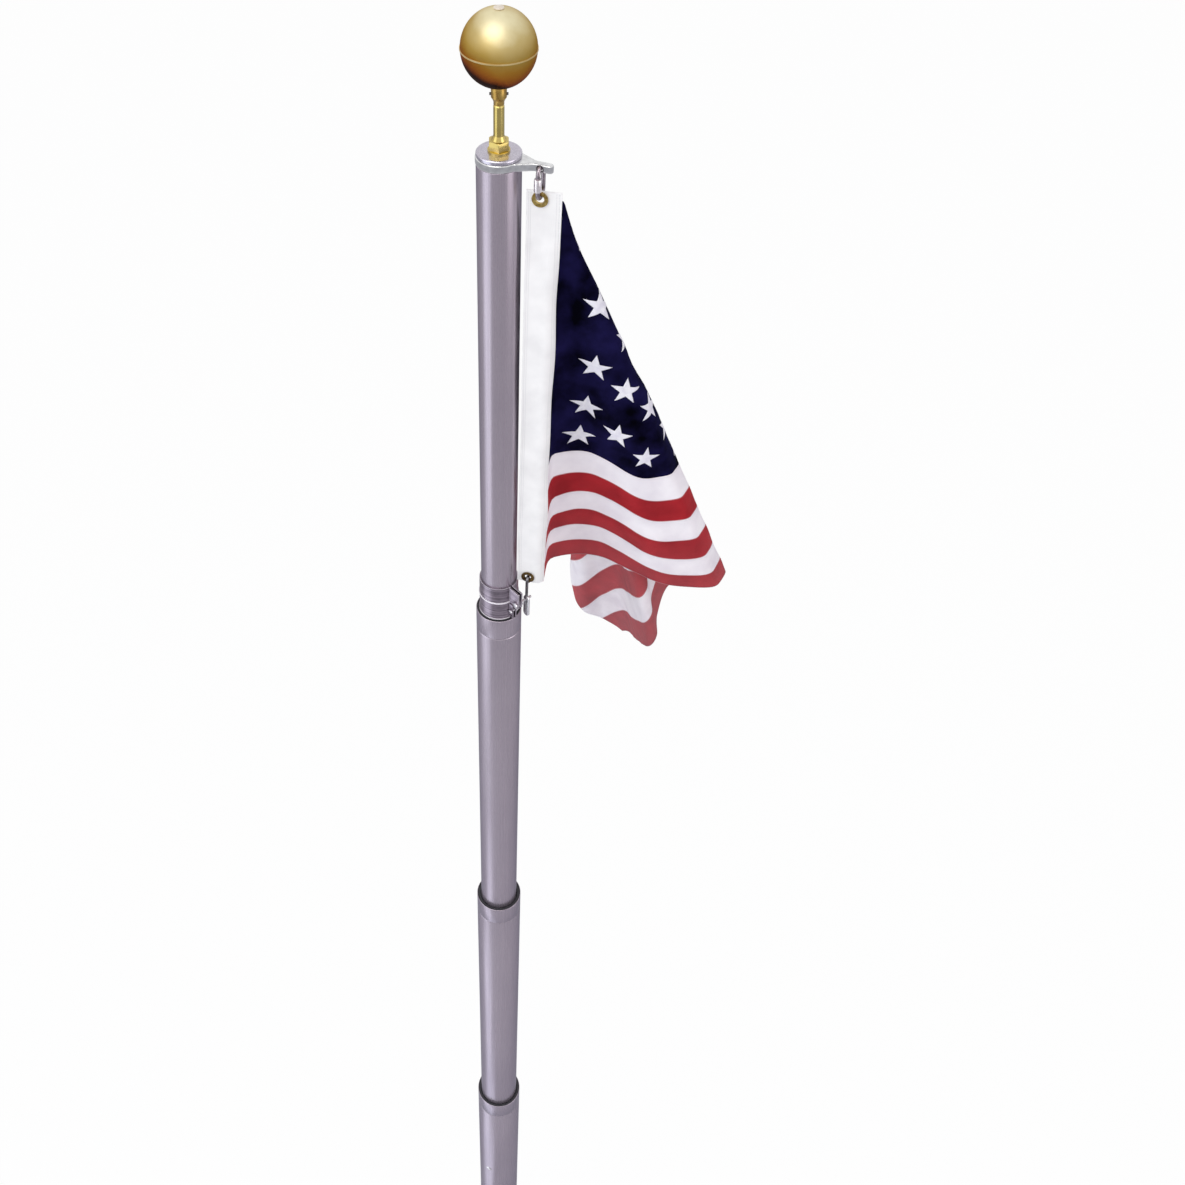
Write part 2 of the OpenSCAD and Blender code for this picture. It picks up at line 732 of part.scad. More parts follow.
module clip_tab() {
    top_r = tab_w / 2;
    color("darkgray") bolt_axis() translate([0, 0, tab_at - tab_t / 2]) difference() {
        union() {
            cylinder(r = top_r, h = tab_t);
            translate([0, -top_r, 0]) cube([tab_h - 2 * top_r, tab_w, tab_t]);
            translate([tab_h - 2 * top_r, 0, 0]) cylinder(r = top_r, h = tab_t);
        }
        translate([0, 0, -eps]) cylinder(r = bolt_d / 2 + seat_gap, h = tab_t + 2 * eps);
    }
}

module lower_hook() {
    back_leg = 11;
    front_leg = lower_grommet[2] - hook_r - bolt_z - tab_w / 2 - seat_gap;
    color("#3c3a40") at_header() translate([0, 0, -grommet_span - hook_r]) {
        rotate([90, 0, 90]) rotate_extrude(angle = 180) translate([hook_r, 0]) circle(d = hook_d);
        translate([0, -hook_r, -front_leg]) cylinder(d = hook_d, h = front_leg);
        translate([0, hook_r, -back_leg]) cylinder(d = hook_d, h = back_leg);
    }
}

base_plug();
base_tube();
base_bushing();
base_screw();
third_tube();
third_bushing();
third_guide();
second_tube();
second_bushing();
second_guide();
stop_collar();
collar_bolt();
top_tube();
top_guide();
truck_cap();
nut_washer();
finial_nut();
finial_stem();
ball_ferrule();
set_screw(1);  // set_screw_left
set_screw(0);  // set_screw_right
ball_lower();
ball_upper();
ball_seam();
ball_button();
truck_arm();
quick_link();
link_sleeve();
upper_grommet();
flag_header();
flag_field();
lower_grommet();
swivel_band();
band_bolt();
band_nut();
clip_tab();
lower_hook();
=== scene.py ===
# %% [markdown]
# A telescoping flagpole with a small flag
#
# The mast is four aluminium tubes that slide into each other. On top sit a gold ball on a brass
# stem and a turning truck with an arm. A flag hangs from the arm on a quick link, and its foot is
# held by a hook on a band that turns round the top tube.
#
# The CAD model gives every size and place. This lesson keeps it as a fixed frame, gives each
# surface its finish, and models what a plain solid can't show: rolled rims, softened castings,
# stitched canvas and folded cloth.

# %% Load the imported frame
import math

import bpy
import numpy as np
from mathutils import Matrix, Vector, noise


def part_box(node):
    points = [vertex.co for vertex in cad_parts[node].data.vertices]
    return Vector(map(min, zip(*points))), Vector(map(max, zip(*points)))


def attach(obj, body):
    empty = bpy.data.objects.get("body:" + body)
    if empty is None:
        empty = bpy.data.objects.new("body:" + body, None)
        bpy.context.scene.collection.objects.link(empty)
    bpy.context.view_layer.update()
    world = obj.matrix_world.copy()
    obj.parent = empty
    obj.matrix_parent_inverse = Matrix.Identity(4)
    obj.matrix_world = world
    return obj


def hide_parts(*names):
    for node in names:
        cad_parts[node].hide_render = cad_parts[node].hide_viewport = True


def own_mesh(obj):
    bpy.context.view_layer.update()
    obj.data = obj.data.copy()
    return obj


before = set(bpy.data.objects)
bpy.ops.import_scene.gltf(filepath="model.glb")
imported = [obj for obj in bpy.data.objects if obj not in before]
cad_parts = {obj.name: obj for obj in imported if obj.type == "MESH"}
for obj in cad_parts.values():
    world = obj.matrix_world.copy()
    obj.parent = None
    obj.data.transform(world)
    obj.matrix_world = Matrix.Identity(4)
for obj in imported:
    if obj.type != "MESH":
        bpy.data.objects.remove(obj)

scene = bpy.context.scene
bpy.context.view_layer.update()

# %% [markdown]
# The camera
#
# The mast is seen from just above the height of the truck, looking steeply down, so the tubes seem
# to shrink towards the ground. A camera that looks down like this needs no roll: the mast is
# upright because it stands in the plane that the camera turns in. A small sideways shift frames
# the mast left of the middle, and keeps its edges parallel to the picture.

# %% Place the camera
camera_data = bpy.data.cameras.new("viewpoint")
camera_data.sensor_width = 36
camera_data.lens = 39.94
camera_data.shift_x = 0.079
camera_data.clip_start = 0.05
camera_data.clip_end = 60
camera = bpy.data.objects.new("viewpoint", camera_data)
camera.location = (0, -1.326, 4.3134)
camera.rotation_euler = (math.radians(43.74), 0, 0)
scene.collection.objects.link(camera)
scene.camera = camera
print("camera height", camera.location.z, "m, lens", camera_data.lens, "mm")

# %% [markdown]
# Light, sky and floor
#
# Polished metal shows what is round it, so the light matters as much as the finish. One tall, wide
# and gentle lamp stands far round to the left: a round tube mirrors it as a bright streak at its
# left quarter with a clean edge, as wide as the lamp is. Seen from so high up, the lower tubes
# mirror the floor instead, so two low panels lie there and carry the streak on down. A high lamp
# over the left shoulder lights the ball from above, and a weak one on the right keeps the far side
# from going dull. The sky is white to the camera and to reflections, and gives a softer grey light
# to everything else.

# %% Hang the lamps
def soft_lamp(name, place, aim, width, height, power, tint):
    """A rectangular soft lamp at a place, turned to face a point."""
    data = bpy.data.lights.new(name, "AREA")
    data.shape = "RECTANGLE"
    data.size = width
    data.size_y = height
    data.energy = power
    data.color = tint
    lamp = bpy.data.objects.new(name, data)
    lamp.location = place
    facing = Vector(place) - Vector(aim)
    lamp.rotation_euler = facing.to_track_quat("Z", "Y").to_euler()
    lamp.visible_camera = False
    scene.collection.objects.link(lamp)
    return lamp


COOL = (0.88, 0.95, 1.0)
streak_lamps = [
    soft_lamp("streak_lamp", (-2.97, -1.45, 2.9), (0, 0, 2.9), 2.5, 7.0, 72, COOL),
    soft_lamp("near_panel", (-0.48, -0.36, 0.01), (-0.48, -0.36, 1), 0.5, 0.5, 1.1, COOL),
    soft_lamp("far_panel", (-1.2, -0.72, 0.01), (-1.2, -0.72, 1), 0.9, 0.9, 3.4, COOL),
]
soft_lamp("top_lamp", (-0.9, -1.5, 6.1), (0.05, 0, 3.4), 2.4, 2.4, 52, (1.0, 0.98, 0.95))
fill_lamp = soft_lamp("fill_lamp", (2.9, -1.8, 3.6), (0, 0, 2.9), 2.0, 3.0, 36, (1.0, 0.96, 0.97))

# %% Paint the sky
world = bpy.data.worlds.new("studio_sky")
scene.world = world
world.use_nodes = True
sky = world.node_tree
sky.nodes.clear()
rays = sky.nodes.new("ShaderNodeLightPath")


def either(first, second):
    """1 for a ray that passes one of two tests."""
    test = sky.nodes.new("ShaderNodeMath")
    test.operation = "MAXIMUM"
    sky.links.new(first, test.inputs[0])
    sky.links.new(second, test.inputs[1])
    return test.outputs[0]


def even_light(colour, strength):
    """The same light from all round."""
    light = sky.nodes.new("ShaderNodeBackground")
    light.inputs["Color"].default_value = (*colour, 1)
    light.inputs["Strength"].default_value = strength
    return light.outputs[0]


mirrored = either(rays.outputs["Is Glossy Ray"], rays.outputs["Is Transmission Ray"])
both_skies = sky.nodes.new("ShaderNodeMixShader")
sky.links.new(either(rays.outputs["Is Camera Ray"], mirrored), both_skies.inputs[0])
sky.links.new(even_light((0.93, 0.94, 1.0), 0.55), both_skies.inputs[1])
sky.links.new(even_light((1, 1, 1), 1.0), both_skies.inputs[2])
sky_out = sky.nodes.new("ShaderNodeOutputWorld")
sky.links.new(both_skies.outputs[0], sky_out.inputs[0])
scene.view_settings.view_transform = "Standard"
print("sky nodes", len(sky.nodes))

# %% [markdown]
# The floor
#
# The mast stands on a plain pale floor, more than four metres below the camera. Its matt white
# takes the light like paper. Where the camera looks at it directly, nearly all of it glows plain
# white, so the ground reads as an empty studio, while the matt part that stays keeps the mast's
# shadow.

# %% Lay the floor
FLOOR_GLOW = 0.97
bpy.ops.object.select_all(action="DESELECT")
bpy.ops.mesh.primitive_plane_add(size=60, location=(0, 0, 0))
floor = bpy.context.object
floor.name = "studio_floor"
paper = bpy.data.materials.new("floor_paper")
paper.use_nodes = True
paper_nodes = paper.node_tree
matt = paper_nodes.nodes["Principled BSDF"]
matt.inputs["Base Color"].default_value = (0.86, 0.86, 0.87, 1)
matt.inputs["Roughness"].default_value = 0.9
floor_rays = paper_nodes.nodes.new("ShaderNodeLightPath")
floor_glow = paper_nodes.nodes.new("ShaderNodeEmission")
floor_share = paper_nodes.nodes.new("ShaderNodeMath")
floor_share.operation = "MULTIPLY"
floor_share.inputs[1].default_value = FLOOR_GLOW
paper_nodes.links.new(floor_rays.outputs["Is Camera Ray"], floor_share.inputs[0])
floor_mix = paper_nodes.nodes.new("ShaderNodeMixShader")
paper_nodes.links.new(floor_share.outputs[0], floor_mix.inputs[0])
paper_nodes.links.new(matt.outputs[0], floor_mix.inputs[1])
paper_nodes.links.new(floor_glow.outputs[0], floor_mix.inputs[2])
paper_nodes.links.new(floor_mix.outputs[0], paper_nodes.nodes["Material Output"].inputs[0])
floor.data.materials.append(paper)
print("floor", floor.dimensions[:2])

# %% [markdown]
# Building finishes from nodes
#
# Every finish here starts from one Principled shader, and small helpers keep the cells short. The
# first makes the material, with its plain numbers on the shader's own sockets. The second adds a
# node and takes, for each socket, either a value or another node's output to wire in. The others
# name the steps that come back in every finish: a sum, the place on the piece, soft noise, a
# colour or a number that runs between two others, and a bump.

# %% Helpers for finishes
def finish(name, colour, roughness, metal=0.0, **sockets):
    """A new material with one Principled shader and its plain values."""
    made = bpy.data.materials.new(name)
    made.use_nodes = True
    shader = made.node_tree.nodes["Principled BSDF"]
    shader.inputs["Base Color"].default_value = (*colour, 1)
    shader.inputs["Roughness"].default_value = roughness
    shader.inputs["Metallic"].default_value = metal
    for socket, value in sockets.items():
        shader.inputs[socket.replace("_", " ")].default_value = value
    return made


def node(made, kind, sockets=None, **settings):
    """A node in a material; a socket's value may be another node's output."""
    new = made.node_tree.nodes.new("ShaderNode" + kind)
    for key, value in settings.items():
        setattr(new, key, value)
    for key, value in (sockets or {}).items():
        if isinstance(value, bpy.types.NodeSocket):
            made.node_tree.links.new(value, new.inputs[key])
        else:
            new.inputs[key].default_value = value
    return new


def wire(made, socket, source):
    """Connects a node's output to one of the shader's sockets."""
    shader = made.node_tree.nodes["Principled BSDF"]
    made.node_tree.links.new(source, shader.inputs[socket])


def sums(made, operation, first, second=0.0, third=0.0):
    """One step of arithmetic on node outputs or numbers."""
    return node(made, "Math", {0: first, 1: second, 2: third}, operation=operation).outputs[0]


def position(made):
    """The point on the piece, in metres."""
    return node(made, "TexCoord").outputs["Object"]


def patchy(made, where, scale, detail=3.0, stretch=(1, 1, 1)):
    """Soft noise between 0 and 1, stretched along an axis where asked."""
    place = node(made, "Mapping", {"Vector": where, "Scale": stretch}).outputs[0]
    return node(made, "TexNoise", {"Vector": place, "Scale": scale, "Detail": detail}).outputs[0]


def between(made, amount, low, high, dark, light):
    """A colour that goes from dark to light as amount goes from low to high."""
    ramp = node(made, "ValToRGB", {"Fac": amount})
    ramp.color_ramp.elements[0].position = low
    ramp.color_ramp.elements[0].color = (*dark, 1)
    ramp.color_ramp.elements[1].position = high
    ramp.color_ramp.elements[1].color = (*light, 1)
    return ramp.outputs[0]


def ranged(made, amount, low, high, out_low, out_high):
    """A number that goes from out_low to out_high as amount goes from low to high."""
    return node(made, "MapRange", {"Value": amount, "From Min": low, "From Max": high,
                                   "To Min": out_low, "To Max": out_high}).outputs[0]


def bumped(made, height, distance, strength=1.0):
    """Raises and lowers the surface by a height, in metres at full height."""
    bump = node(made, "Bump", {"Height": height, "Distance": distance, "Strength": strength})
    wire(made, "Normal", bump.outputs[0])


print("finish helpers ready")

# %% [markdown]
# Anodised mast tube
#
# The tubes are drawn aluminium with a satin anodised skin: a cool grey with a breath of violet.
# Drawing leaves fine lines along the tube, so one noise is stretched hard along Z to streak the
# roughness and the surface. A second, wide and faint, clouds the tint as handling does, and a
# third gives the skin its fine grain. The shader is mostly metal with some matt skin left in it,
# and its dark edge tint lets the tube deepen where it turns away.

# %% Make the anodised finish
mast_grey = finish("mast_anodised", (0.43, 0.38, 0.43), 0.3, 0.78, Specular_IOR_Level=0.4,
                   Specular_Tint=(0.35, 0.36, 0.42, 1))
tube_at = position(mast_grey)
draw_lines = patchy(mast_grey, tube_at, 900, 2, (1, 1, 0.004))
cloud = patchy(mast_grey, tube_at, 9, 4, (1, 1, 0.35))
speckle = patchy(mast_grey, tube_at, 620, 2)
tube_tint = between(mast_grey, cloud, 0.35, 0.68, (0.41, 0.355, 0.41), (0.465, 0.405, 0.46))
marks_on_tube = sums(mast_grey, "MULTIPLY_ADD", draw_lines, 0.5,
                     sums(mast_grey, "MULTIPLY", speckle, 0.5))
line_tint = node(mast_grey, "Mix", {"Factor": ranged(mast_grey, marks_on_tube, 0.4, 0.68, 0, 0.45),
                                    6: tube_tint, 7: (0.30, 0.265, 0.315, 1)}, data_type="RGBA")
wire(mast_grey, "Base Color", line_tint.outputs[2])
wire(mast_grey, "Roughness", ranged(mast_grey, draw_lines, 0.3, 0.7, 0.24, 0.34))
bumped(mast_grey, marks_on_tube, 0.00002)
print("tube nodes", len(mast_grey.node_tree.nodes))

# %% [markdown]
# Gold ball and brass
#
# The ball is spun aluminium under a satin gold lacquer. Its colour carries painted light and
# shade: pale gold over the crown, where the light from above falls, going to a painted red-brown
# shade underneath that is darkest towards the lower left. That painted shading follows the height
# on the ball and leans to one side, so it is mixed from the position on the piece. The stem, nut
# and ferrule are solid brass: yellower, shinier, and marked by turning.
# Turning marks run round the stem, so their noise is stretched across X and Y.

# %% Make the gold and the brass
ball_low, ball_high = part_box("ball_seam")
ball_middle = (ball_low + ball_high) / 2
BALL_R = (ball_high.x - ball_low.x) / 2
ball_gold = finish("ball_gold", (0.52, 0.38, 0.15), 0.48, 0.8, Specular_Tint=(0.45, 0.28, 0.14, 1),
                   Coat_Weight=0.04, Coat_Roughness=0.4)
ball_at = position(ball_gold)
ball_cloud = patchy(ball_gold, ball_at, 42, 6)
# Painted light and shade: the colour runs from pale gold where the ball faces up towards the light
# to a near-black painted shade below and to the lower left.
from_middle = node(ball_gold, "VectorMath", {0: ball_at, 1: tuple(ball_middle)},
                   operation="SUBTRACT").outputs[0]
facing = node(ball_gold, "VectorMath", {0: from_middle, 1: (0.06, -0.30, 0.92)},
              operation="DOT_PRODUCT").outputs["Value"]
painted_shade_side = node(ball_gold, "VectorMath", {0: from_middle, 1: (-0.62, -0.30, -0.72)},
             operation="DOT_PRODUCT").outputs["Value"]
painted_light = sums(ball_gold, "MULTIPLY_ADD", facing, 0.5 / BALL_R, 0.5)
painted_light = sums(ball_gold, "ADD", painted_light,
                ranged(ball_gold, painted_shade_side, 0.5 * BALL_R, BALL_R, 0, -0.3))
painted_light = sums(ball_gold, "ADD", painted_light,
                ranged(ball_gold, ball_cloud, 0.3, 0.7, -0.035, 0.035))
gold_and_painted_shade = node(ball_gold, "ValToRGB", {"Fac": painted_light}).color_ramp
gold_and_painted_shade.elements[0].position, gold_and_painted_shade.elements[0].color = 0.14, (0.02, 0.005, 0.003, 1)
gold_and_painted_shade.elements[1].position, gold_and_painted_shade.elements[1].color = 0.97, (0.80, 0.74, 0.50, 1)
for place, tint in ((0.30, (0.28, 0.078, 0.014)), (0.42, (0.37, 0.135, 0.018)),
                    (0.55, (0.42, 0.205, 0.028)), (0.68, (0.46, 0.30, 0.068)),
                    (0.82, (0.54, 0.42, 0.18))):
    gold_and_painted_shade.elements.new(place).color = (*tint, 1)
wire(ball_gold, "Base Color", ball_gold.node_tree.nodes[-1].outputs[0])
wire(ball_gold, "Roughness", ranged(ball_gold, ball_cloud, 0.3, 0.7, 0.43, 0.54))
bumped(ball_gold, patchy(ball_gold, ball_at, 900, 2), 0.00002)

seam_gold = finish("seam_gold", (0.80, 0.62, 0.28), 0.3, 0.7)
seam_rub = patchy(seam_gold, position(seam_gold), 60, 4)
wire(seam_gold, "Base Color",
     between(seam_gold, seam_rub, 0.35, 0.7, (0.72, 0.52, 0.20), (0.88, 0.74, 0.40)))

stem_brass = finish("stem_brass", (0.55, 0.42, 0.12), 0.22, 1.0)
brass_at = position(stem_brass)
turned = patchy(stem_brass, brass_at, 1500, 2, (0.02, 0.02, 1))
tarnish = patchy(stem_brass, brass_at, 55, 4, (1, 1, 0.5))
wire(stem_brass, "Base Color",
     between(stem_brass, tarnish, 0.3, 0.8, (0.60, 0.48, 0.17), (0.40, 0.28, 0.07)))
wire(stem_brass, "Roughness", ranged(stem_brass, turned, 0.3, 0.7, 0.16, 0.28))
bumped(stem_brass, turned, 0.00003)

ferrule_gold = finish("ferrule_gold", (0.42, 0.26, 0.07), 0.3, 1.0)
ferrule_at = position(ferrule_gold)
spun = patchy(ferrule_gold, ferrule_at, 1300, 2, (0.02, 0.02, 1))
wire(ferrule_gold, "Base Color", between(ferrule_gold, patchy(ferrule_gold, ferrule_at, 120, 4),
                                         0.3, 0.75, (0.50, 0.34, 0.10), (0.28, 0.15, 0.035)))
wire(ferrule_gold, "Roughness", ranged(ferrule_gold, spun, 0.3, 0.7, 0.24, 0.38))
bumped(ferrule_gold, spun, 0.00003)
print("gold and brass ready")

# %% [markdown]
# Steel, casting and moulded inserts
#
# The bands are turned from darker metal; their edges and lips are worn bright and painted near
# white, a painted highlight for the light their rounded edges catch. The quick link is drawn wire,
# the hook is dark steel, and the arm is a polished casting. Each one is the same recipe with other
# numbers: a base grey, marks along or round the part, and a little wear.

# %% Make the small metal finishes
def worked_metal(name, dark, light, rough_low, rough_high, scale, stretch, depth, metal=1.0):
    """Metal with tool marks: noise stretched along the way the tool went."""
    made = finish(name, light, rough_low, metal)
    at = position(made)
    marks = patchy(made, at, scale, 3, stretch)
    wear = patchy(made, at, 150, 4)
    shade = sums(made, "MULTIPLY_ADD", marks, 0.75, sums(made, "MULTIPLY", wear, 0.25))
    wire(made, "Base Color", between(made, shade, 0.36, 0.64, dark, light))
    wire(made, "Roughness", ranged(made, marks, 0.3, 0.7, rough_low, rough_high))
    bumped(made, marks, depth)
    return made


band_metal = worked_metal("band_metal", (0.16, 0.135, 0.165), (0.36, 0.30, 0.36),
                          0.24, 0.40, 420, (0.01, 0.01, 1), 0.00004)
# Partly wear, partly painted highlight: a near-white finish for worn edges, lighter than the
# metal, standing in for the light their rounded edges catch.
bright_edge = worked_metal("bright_edge", (0.88, 0.82, 0.88), (0.98, 0.94, 0.98),
                           0.16, 0.28, 500, (0.02, 0.02, 1), 0.00002, 0.15)
link_wire = worked_metal("link_wire", (0.20, 0.165, 0.19), (0.38, 0.33, 0.36),
                         0.18, 0.30, 700, (1, 1, 0.1), 0.00003)
sleeve_zinc = worked_metal("sleeve_zinc", (0.68, 0.63, 0.66), (0.86, 0.81, 0.83),
                           0.26, 0.38, 500, (1, 1, 1), 0.00003)
hook_steel = worked_metal("hook_steel", (0.09, 0.085, 0.09), (0.24, 0.23, 0.24),
                          0.20, 0.36, 500, (1, 1, 0.2), 0.00004)
tab_zinc = worked_metal("tab_zinc", (0.42, 0.42, 0.43), (0.66, 0.66, 0.67),
                        0.28, 0.42, 500, (1, 1, 1), 0.00004)
arm_casting = worked_metal("arm_casting", (0.58, 0.58, 0.59), (0.74, 0.74, 0.75),
                           0.12, 0.22, 160, (1, 1, 1), 0.00003)
screw_steel = worked_metal("screw_steel", (0.52, 0.50, 0.53), (0.74, 0.72, 0.75),
                           0.18, 0.32, 900, (1, 1, 1), 0.00003)
grommet_brass = worked_metal("grommet_brass", (0.30, 0.19, 0.045), (0.62, 0.46, 0.16),
                             0.14, 0.26, 350, (1, 1, 1), 0.00004)
# Painted shade: brass darkened almost to black brown for the lower grommet, which hangs in shadow.
painted_shade_brass = worked_metal("painted_shade_brass", (0.05, 0.028, 0.01), (0.22, 0.14, 0.05),
                          0.24, 0.40, 300, (1, 1, 1), 0.00006)
cap_satin = worked_metal("cap_satin", (0.44, 0.41, 0.48), (0.56, 0.53, 0.60),
                         0.22, 0.34, 500, (1, 1, 1), 0.00002)
# Painted shade: a near-black finish for the rim's top and the bore, where shadow falls between the
# tubes.
painted_bore_shade = worked_metal("painted_bore_shade", (0.045, 0.042, 0.05), (0.10, 0.095, 0.11),
                       0.35, 0.5, 600, (1, 1, 1), 0.00003, 0.8)
print("metals", [m.name for m in bpy.data.materials])

# %% Make the moulded black and the button's white
insert_black = finish("insert_black", (0.025, 0.025, 0.03), 0.5)
grain = patchy(insert_black, position(insert_black), 1800, 2)
wire(insert_black, "Roughness", ranged(insert_black, grain, 0.3, 0.7, 0.42, 0.6))
bumped(insert_black, grain, 0.00005)

button_white = finish("button_white", (0.78, 0.70, 0.60), 0.28)
smudge = patchy(button_white, position(button_white), 260, 3)
wire(button_white, "Base Color",
     between(button_white, smudge, 0.3, 0.8, (0.80, 0.72, 0.62), (0.66, 0.56, 0.44)))
print("moulded finishes ready")

# %% [markdown]
# Dress the CAD nodes
#
# Pieces whose CAD shape is already right keep their mesh and only change their material. Each name
# is looked up in the frame, so a part that moves carries its finish with it.

# %% Give the plain nodes their finish
def dress(names, made):
    """Puts a finish on CAD nodes that stay as they are."""
    for name in names:
        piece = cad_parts[name]
        for material_slot in piece.material_slots:
            material_slot.material = made
    print(made.name, "on", len(names), "nodes")


dress(["base_plug", "base_bushing", "third_bushing", "third_guide", "second_bushing",
       "second_guide", "top_guide"], insert_black)
dress(["ball_lower", "ball_upper"], ball_gold)
dress(["ball_seam"], seam_gold)
dress(["nut_washer", "finial_stem"], stem_brass)
dress(["quick_link"], link_wire)
dress(["set_screw_left", "set_screw_right", "lower_hook"], hook_steel)
dress(["upper_grommet"], grommet_brass)
# Painted shade: the lower grommet takes the darkened brass.
dress(["lower_grommet"], painted_shade_brass)
dress(["truck_cap"], cap_satin)

# %% [markdown]
# Drawn tubes with rolled rims
#
# A real mast tube ends in a rim that has been rolled smooth, with a shallow groove below it that
# grips the insert inside. It could be cut from a cylinder with booleans, but a tube is a turned
# shape, so it is quicker to draw its profile and carry a ring of edges along it: a circle is
# extruded from one profile point to the next, and widened or narrowed as it goes. The top of the
# rim and the bore are given a near-black colour: painted shade, for the shadow that falls into the
# gap between the tubes.

# %% Helpers for pieces, and turning a profile into a shape
def deselect():
    """Leaves edit mode and lets go of everything."""
    if bpy.context.object and bpy.context.object.mode == "EDIT":
        bpy.ops.object.mode_set(mode="OBJECT")
    bpy.ops.object.select_all(action="DESELECT")


def pick(piece):
    """Selects one piece alone, and makes it the one that operators work on."""
    deselect()
    bpy.context.view_layer.objects.active = piece
    piece.select_set(True)


def put_in_scene(name, mesh):
    """A new object that holds a mesh."""
    piece = bpy.data.objects.new(name, mesh)
    scene.collection.objects.link(piece)
    return piece


def shape_by(piece, name, kind, **settings):
    """Gives the picked piece one modifier and applies it."""
    modifier = piece.modifiers.new(name, kind)
    for key, value in settings.items():
        setattr(modifier, key, value)
    bpy.ops.object.modifier_apply(modifier=modifier.name)


def turned_shape(name, profile, sides=96):
    """A closed ring shape from (radius, height) points, by extruding a circle along them."""
    deselect()
    radius, height = profile[0]
    bpy.ops.mesh.primitive_circle_add(vertices=sides, radius=radius, location=(0, 0, height))
    piece = bpy.context.object
    piece.name = piece.data.name = name
    bpy.ops.object.transform_apply(location=True, rotation=False, scale=False)
    bpy.ops.object.mode_set(mode="EDIT")
    bpy.ops.mesh.select_all(action="SELECT")
    for next_radius, next_height in profile[1:] + profile[:1]:
        bpy.ops.mesh.extrude_region_move(
            TRANSFORM_OT_translate={"value": (0, 0, next_height - height)})
        share = next_radius / radius
        bpy.ops.transform.resize(value=(share, share, 1), center_override=(0, 0, next_height))
        radius, height = next_radius, next_height
    bpy.ops.mesh.select_all(action="SELECT")
    bpy.ops.mesh.remove_doubles(threshold=1e-6)
    bpy.ops.mesh.normals_make_consistent(inside=False)
    bpy.ops.object.mode_set(mode="OBJECT")
    bpy.ops.object.shade_smooth_by_angle(angle=math.radians(32))
    return piece


def arc(centre, radius, start, end, steps):
    """Points on a small arc of the profile, angles in degrees."""
    angles = [math.radians(start + (end - start) * i / steps) for i in range(steps + 1)]
    return [(centre[0] + radius * math.cos(a), centre[1] + radius * math.sin(a)) for a in angles]


print("piece helpers ready")

# %% Roll the four tubes
WALL = 0.0017
ROLL, BORE_ROLL, FOOT_CUT = 0.0008, 0.0005, 0.0004
GROOVE = {"base_tube": 0.058, "third_tube": 0.048, "second_tube": 0.039}
GROOVE_DEPTH, GROOVE_HALF = 0.0008, 0.0019


def tube_profile(outer, foot, rim, groove_drop):
    """The wall's outline: up the outside, over the rolled rim and down the bore."""
    outline = [(outer, foot + FOOT_CUT)]
    if groove_drop:
        middle = rim - groove_drop
        for step in range(-4, 5):
            dip = GROOVE_DEPTH * (0.5 + 0.5 * math.cos(math.pi * step / 4))
            outline.append((outer - dip, middle + GROOVE_HALF * step / 4))
    outline += arc((outer - ROLL, rim - ROLL), ROLL, 0, 90, 5)
    outline += arc((outer - WALL + BORE_ROLL, rim - BORE_ROLL), BORE_ROLL, 90, 180, 3)
    outline += [(outer - WALL, foot), (outer - FOOT_CUT, foot)]
    return outline


for tube_name, body in (("base_tube", "base_section"), ("third_tube", "third_section"),
                        ("second_tube", "second_section"), ("top_tube", "top_section")):
    low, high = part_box(tube_name)
    tube = turned_shape("rolled_" + tube_name,
                        tube_profile(high.x, low.z, high.z, GROOVE.get(tube_name, 0)), 128)
    tube.data.materials.append(mast_grey)
    tube.data.materials.append(painted_bore_shade)
    # Painted shade: the faces of the rim's top and the bore take the near-black finish.
    for face in tube.data.polygons:
        inside = math.hypot(face.center.x, face.center.y) < high.x - ROLL
        face.material_index = int(inside and face.center.z > low.z + ROLL)
    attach(tube, body)
    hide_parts(tube_name)
    print(tube.name, "radius", round(high.x * 1000, 2), "mm, faces", len(tube.data.polygons))

# %% [markdown]
# Softened castings and clamps
#
# No cast or turned part has a knife edge, and a softened edge is what catches a thin line of
# light. The CAD node is a cloud of loose triangles, so a copy is merged, its flat faces are joined
# again, and then every hard edge gets a small bevel. The copy stands in for the node.

# %% Round the edges of a copy of a node
def merged_copy(node_name, made, edge=None):
    """A copy of a CAD node with its triangles joined into whole faces."""
    piece = put_in_scene("soft_" + node_name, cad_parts[node_name].data.copy())
    pick(piece)
    bpy.ops.object.mode_set(mode="EDIT")
    bpy.ops.mesh.select_all(action="SELECT")
    bpy.ops.mesh.remove_doubles(threshold=2e-6)
    bpy.ops.mesh.customdata_custom_splitnormals_clear()
    bpy.ops.mesh.dissolve_limited(angle_limit=math.radians(0.8))
    bpy.ops.object.mode_set(mode="OBJECT")
    piece.data.materials.clear()
    piece.data.materials.append(made)
    if edge:
        piece.data.materials.append(edge)
    return piece


def settle(piece, node_name, body):
    """Fixes a copy to its body in place of the node."""
    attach(piece, body)
    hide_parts(node_name)
    print(piece.name, "faces", len(piece.data.polygons))


def softened(node_name, body, made, width, steps=2, edge=None):
    """A copy of a CAD node with its hard edges rounded by width, and given a worn finish with a
    painted highlight where asked.
    """
    piece = merged_copy(node_name, made, edge)
    shape_by(piece, "rounding", "BEVEL", width=width, segments=steps, limit_method="ANGLE",
             angle_limit=math.radians(34), use_clamp_overlap=True, material=1 if edge else -1)
    bpy.ops.object.shade_smooth_by_angle(angle=math.radians(36))
    settle(piece, node_name, body)
    return piece


